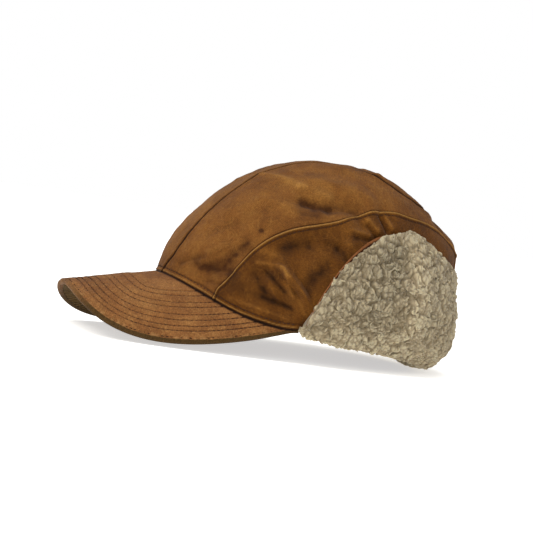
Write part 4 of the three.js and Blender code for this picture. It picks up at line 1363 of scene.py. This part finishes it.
def waxed_canvas(name, body, dark, light, worn_highlight, coarse=1.0):
    """Canvas in a few tones, made lighter and darker by its grain and its weave, and matt; its pale worn
    tone stands for wear and painted highlight.
    """
    material, tree = blank_material(name)
    seen = canvas_patterns(tree)
    tones = {"dark": dark, "light": light, "worn_highlight": worn_highlight, "rim": RIM_OLIVE, "seam": SEAM_SHADOW}
    shade = tinted(tree, colour(body), seen, CANVAS_STEPS, tones)
    spread = GRAIN_SPREAD * coarse
    fine = node(tree, "MapRange", {
        "Value": seen["grain"], "From Min": 0.3, "From Max": 0.7,
        "To Min": 1 - spread, "To Max": 1 + spread,
    })
    thread = node(tree, "MapRange", {"Value": seen["weave"], "To Min": 0.9, "To Max": 1.08})
    both = node(tree, "Math", {0: fine.outputs[0], 1: thread.outputs[0]}, operation="MULTIPLY")
    shade = node(tree, "VectorMath", {0: shade, "Scale": both.outputs[0]}, operation="SCALE").outputs[0]
    relief = node(tree, "Math", {0: seen["grain"], 1: seen["weave"]}, operation="ADD")
    bump = node(tree, "Bump", {"Height": relief.outputs[0], "Strength": 0.5, "Distance": 0.0005})
    soft = node(tree, "Bump", {
        "Height": seen["patch"], "Strength": 0.5, "Distance": 0.0012, "Normal": bump.outputs[0],
    })
    gloss = node(tree, "MapRange", {
        "Value": seen["patch"], "From Min": 0.3, "From Max": 0.7,
        "To Min": CANVAS_ROUGHNESS - 0.1, "To Max": CANVAS_ROUGHNESS + 0.1,
    })
    shader = node(tree, "BsdfPrincipled", {
        "Base Color": shade, "Roughness": gloss.outputs[0], "Normal": soft.outputs[0],
        "IOR": 1.45, "Specular IOR Level": 0.1, "Sheen Weight": 0.04, "Sheen Roughness": 0.45,
    })
    finish_material(tree, shader)
    return material


# %% Six canvases
UPPER = waxed_canvas("waxed canvas, upper crown", "#6c431a", "#361c08", "#8a602d", "#a67a40")
STRIP = waxed_canvas("waxed canvas, centre strip", "#70481f", "#3a200a", "#896032", "#9c7340")
# The lower crown's body is darker than the upper crown's: partly its own colour, and partly painted shade
# for cloth that faces down.
LOWER = waxed_canvas("waxed canvas, lower crown", "#55310a", "#251203", "#7b4f1e", "#a6793d")
PEAK = waxed_canvas("waxed canvas, peak", "#7c512b", "#41240f", "#9d7443", "#a87d4c", coarse=1.3)
# Under the peak the canvas is darker and more olive than on top: partly painted shade for the side that
# faces down, and partly a more olive cloth.
UNDER = waxed_canvas("waxed canvas, under the peak", "#554122", "#2a1d0c", "#6b5230", "#6b5433")
TRIM = waxed_canvas("waxed canvas, flap", "#6f4020", "#3f220f", "#80502c", "#8a5a34")
print("weave drawn at", WEAVE_MM, "mm on", [m.name for m in (UPPER, STRIP, LOWER, PEAK, UNDER, TRIM)])

# %% [markdown]
# ### Curly fleece
# Polyester sherpa: cream fibres in tight curls, matt with a soft glow at a glancing angle, which
# is what the sheen is for. The colour follows how high each point stands in the pile, with painted
# shade deep down, and the tone attribute adds painted shade and painted light.

# %% Curly fleece
STRAND_MM = 2.0
fleece, tree = blank_material("curly sherpa fleece")
place = node(tree, "TexCoord", {}).outputs["Object"]
high = node(tree, "Attribute", {}, attribute_name="height").outputs["Fac"]
tone = node(tree, "Attribute", {}, attribute_name="tone").outputs["Fac"]
cloud = node(tree, "TexNoise", {"Vector": place, "Scale": 1 / 0.03, "Detail": 3})
fibre = node(tree, "TexNoise", {
    "Vector": place, "Scale": 1 / 0.0011, "Detail": 4, "Roughness": 0.7, "Distortion": 1.5,
})
# The pile is painted darker deep down and paler at the tips, as painted shade; the dusty tone is random.
PILE_STEPS = (
    ("height", 0.05, 0.85, 1.0, "side"), ("height", 0.75, 1.0, 0.7, "tip"),
    ("cloud", 0.35, 0.7, 0.4, "dusty"),
)
shade = tinted(
    tree, colour("#6b5c43"), {"height": high, "cloud": cloud.outputs["Fac"]}, PILE_STEPS,
    {"side": "#998b71", "tip": "#b9ad8f", "dusty": "#8f7f62"},
)
# The tone carries random tone with the painted shade of the ear's hollow and painted light on its ridge
# and low down.
vary = node(tree, "MapRange", {"Value": tone, "To Min": 0.6, "To Max": 1.06})
shade = node(tree, "VectorMath", {0: shade, "Scale": vary.outputs[0]}, operation="SCALE").outputs[0]
strand = node(tree, "TexWave", {
    "Vector": place, "Scale": wave_scale(STRAND_MM), "Distortion": 14.0,
    "Detail": 2, "Detail Scale": 1.6,
}, bands_direction="DIAGONAL")
both = node(tree, "Math", {0: fibre.outputs["Fac"], 1: strand.outputs["Fac"]}, operation="ADD")
bump = node(tree, "Bump", {"Height": both.outputs[0], "Strength": 0.5, "Distance": 0.0006})
shader = node(tree, "BsdfPrincipled", {
    "Base Color": shade, "Roughness": 0.95, "Normal": bump.outputs[0], "IOR": 1.45,
    "Specular IOR Level": 0.1, "Sheen Weight": 0.1, "Sheen Roughness": 0.5,
    "Subsurface Weight": 0.45, "Subsurface Radius": (1.0, 0.85, 0.65), "Subsurface Scale": 0.0022,
})
finish_material(tree, shader)
print("strands drawn at", STRAND_MM, "mm on the", fleece.name)

# %% [markdown]
# ### Thread
# Bonded polyester thread, spun from two strands. The twist shows as fine slanted bands.

# %% Thread
TWIST_MM = 0.6
thread, tree = blank_material("bonded polyester thread")
place = node(tree, "TexCoord", {}).outputs["Object"]
twist = node(tree, "TexWave", {
    "Vector": place, "Scale": wave_scale(TWIST_MM), "Distortion": 1.0,
}, bands_direction="DIAGONAL").outputs["Fac"]
made = node(tree, "Mix", {0: twist, A: colour("#241208"), B: colour("#432713")}, data_type="RGBA")
bump = node(tree, "Bump", {"Height": twist, "Strength": 0.3, "Distance": 0.0002})
shader = node(tree, "BsdfPrincipled", {
    "Base Color": made.outputs[MIXED], "Roughness": 0.8, "Specular IOR Level": 0.2,
    "Normal": bump.outputs[0],
})
finish_material(tree, shader)
print("twist drawn at", TWIST_MM, "mm on the", thread.name)

# %% [markdown]
# ## Dress the pieces
# Each piece gets its material, and where a piece has the name of a solid, that solid is hidden.

# %% Dress the pieces
FINISHES = {
    "centre_strip": (STRIP, "canvas"), "upper_panel_left": (UPPER, "canvas"),
    "upper_panel_right": (UPPER, "canvas"), "lower_panel_left": (LOWER, "canvas"),
    "lower_panel_right": (LOWER, "canvas"), "peak_top": (PEAK, "peak_canvas"),
    "peak_under": (UNDER, "peak_canvas"), "flap_cloth": (TRIM, "canvas"),
    "flap_fleece": (fleece, "fleece"), "fleece_locks": (fleece, "fleece"),
    "crown_stitches": (thread, "canvas"), "peak_stitches": (thread, "peak_canvas"),
}
for name, (material, slot) in FINISHES.items():
    pieces[name].data.materials.append(material)
    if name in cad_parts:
        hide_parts(name)
print("dressed", len(FINISHES), "pieces")

# %% [markdown]
# ## The flap as a piece of cloth
# The flap is the one part that isn't sewn to its shape: it is cut flat, sewn on along its lower
# edge and folded up.

# %% [markdown]
# ## Floor, light and camera
# The photograph has a plain white ground and soft light from above and in front. A pale floor
# takes a faint shadow, large area lights give the soft modelling, and the world fills the rest.
# The paper glows, as painted light, more the further it is from the cap, so no horizon shows behind it;
# near the cap the glow also thins its shadow and lights the cap from below.

# %% Floor
floor_mesh = bpy.data.meshes.new("floor")
HALF, FLOOR_DROP = 30.0, 0.0002
corners = [(-HALF, -HALF, 0), (HALF, -HALF, 0), (HALF, HALF, 0), (-HALF, HALF, 0)]
floor_mesh.from_pydata(corners, [], [(0, 1, 2, 3)])
floor = bpy.data.objects.new("floor", floor_mesh)
floor.location.z = -FLOOR_DROP
bpy.context.scene.collection.objects.link(floor)
floor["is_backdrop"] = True
paper, tree = blank_material("white paper")
place = node(tree, "TexCoord", {}).outputs["Object"]
pulp = node(tree, "TexNoise", {"Vector": place, "Scale": 40.0, "Detail": 3})
made = node(tree, "Mix", {
    0: pulp.outputs["Fac"], A: colour("#f6f6f4"), B: colour("#fbfbfa"),
}, data_type="RGBA")
far = node(tree, "VectorMath", {0: place}, operation="LENGTH")
glow = node(tree, "MapRange", {
    "Value": far.outputs["Value"], "From Min": 0.3, "From Max": 2.0, "To Min": 0.55, "To Max": 1.0,
})
# The emission is painted light: the paper glows like a lamp, which thins the cap's shadow and lights its
# underside.
shader = node(tree, "BsdfPrincipled", {
    "Base Color": made.outputs[MIXED], "Roughness": 0.9, "Specular IOR Level": 0.1,
    "Emission Color": colour("#ffffff"), "Emission Strength": glow.outputs[0],
})
finish_material(tree, shader)
floor_mesh.materials.append(paper)
print("floor", 2 * HALF, "m wide,", 1000 * FLOOR_DROP, "mm below the cap")

# %% [markdown]
# ### Studio light
# The key stands high in front, a second light hangs over the crown, and a weak one lifts the
# side that the picture shows. The world is white to the camera and dimmer to the cap.

# %% Light
world = bpy.data.worlds.new("studio")
bpy.context.scene.world = world
world.use_nodes = True
world.node_tree.nodes.clear()
fill = node(world.node_tree, "Background", {"Color": (1, 1, 1, 1), "Strength": 0.42})
seen = node(world.node_tree, "Background", {"Color": (1, 1, 1, 1), "Strength": 1.0})
ray = node(world.node_tree, "LightPath", {})
sky = node(world.node_tree, "MixShader", {
    0: ray.outputs["Is Camera Ray"], 1: fill.outputs[0], 2: seen.outputs[0],
})
node(world.node_tree, "OutputWorld", {"Surface": sky.outputs[0]})


def area_light(name, place, aim, size, power, tint):
    """Square soft light at a place, turned to aim at a point."""
    light = bpy.data.lights.new(name, "AREA")
    light.size, light.energy, light.color = size, power, colour(tint)[:3]
    lamp = bpy.data.objects.new(name, light)
    back = unit(np.array(place, float) - np.array(aim, float))
    right = unit(np.cross(np.array([0.0, 0.0, 1.0]), back))
    turn = np.stack([right, np.cross(back, right), back], 1)
    lamp.matrix_world = Matrix.Translation(place) @ Matrix(turn.tolist()).to_4x4()
    bpy.context.scene.collection.objects.link(lamp)
    return lamp


CAP_MIDDLE, LIGHT_SIZE = (0, 0, 0.06), 0.9
area_light("key", (0.25, -1.0, 1.3), CAP_MIDDLE, LIGHT_SIZE, 16.0, "#fffaf2")
area_light("top", (0.1, 0.2, 1.6), CAP_MIDDLE, LIGHT_SIZE, 8.0, "#ffffff")
area_light("fill", (1.4, -0.6, 0.55), CAP_MIDDLE, LIGHT_SIZE, 7.0, "#ffffff")
print("three soft lights round the cap")

# %% [markdown]
# ### Camera
# The camera stands level with the cap's opening, 20.6 degrees forward of its left side, and is
# rolled by 18.2 degrees, which puts the cap in the picture as it was photographed.

# %% Camera
# Degrees forward of the left side and of roll, millimetres to the cap and in a picture's point
VIEW_AZIMUTH, VIEW_ROLL, DISTANCE, MM_PER_PIXEL = 20.6, 18.2, 1100.0, 0.705
# The picture's size, and where the middle of the cap's opening lies in it
FRAME, ORIGIN_PIXEL = 533, (282.0, 320.0)
phi, rho = math.radians(VIEW_AZIMUTH), math.radians(VIEW_ROLL)
away = np.array([math.cos(phi), -math.sin(phi), 0])
level, upright = np.array([math.sin(phi), math.cos(phi), 0]), np.array([0, 0, 1.0])
right = level * math.cos(rho) + upright * math.sin(rho)
up = upright * math.cos(rho) - level * math.sin(rho)
shift = [(p - FRAME / 2) * MM_PER_PIXEL for p in ORIGIN_PIXEL]
aim = -right * shift[0] + up * shift[1]
back = unit(away * DISTANCE - aim)
right = unit(np.cross(up, back))
up = np.cross(back, right)
camera = bpy.data.cameras.new("camera")
camera.sensor_width = 36.0
camera.lens = camera.sensor_width * DISTANCE / (FRAME * MM_PER_PIXEL)
camera.clip_start, camera.clip_end = 0.05, 100
eye = bpy.data.objects.new("camera", camera)
turn = np.stack([tip(right), tip(up), tip(back)], 1)
eye.matrix_world = Matrix.Translation(to_row(away * DISTANCE)) @ Matrix(turn.tolist()).to_4x4()
bpy.context.scene.collection.objects.link(eye)
bpy.context.scene.camera = eye
bpy.context.scene.view_settings.view_transform = "Standard"
print("camera at", [round(x, 3) for x in eye.location], "lens", round(camera.lens, 1))

# %% [markdown]
# ## Size of the pieces
# The box round all the shown pieces, in millimetres, with the floor left out. The modelled cloth
# has to stay in the space of its solids.

# %% Size of the pieces
low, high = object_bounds()
print("visual box in mm:", [round(1000 * v, 1) for v in (*low, *high)])
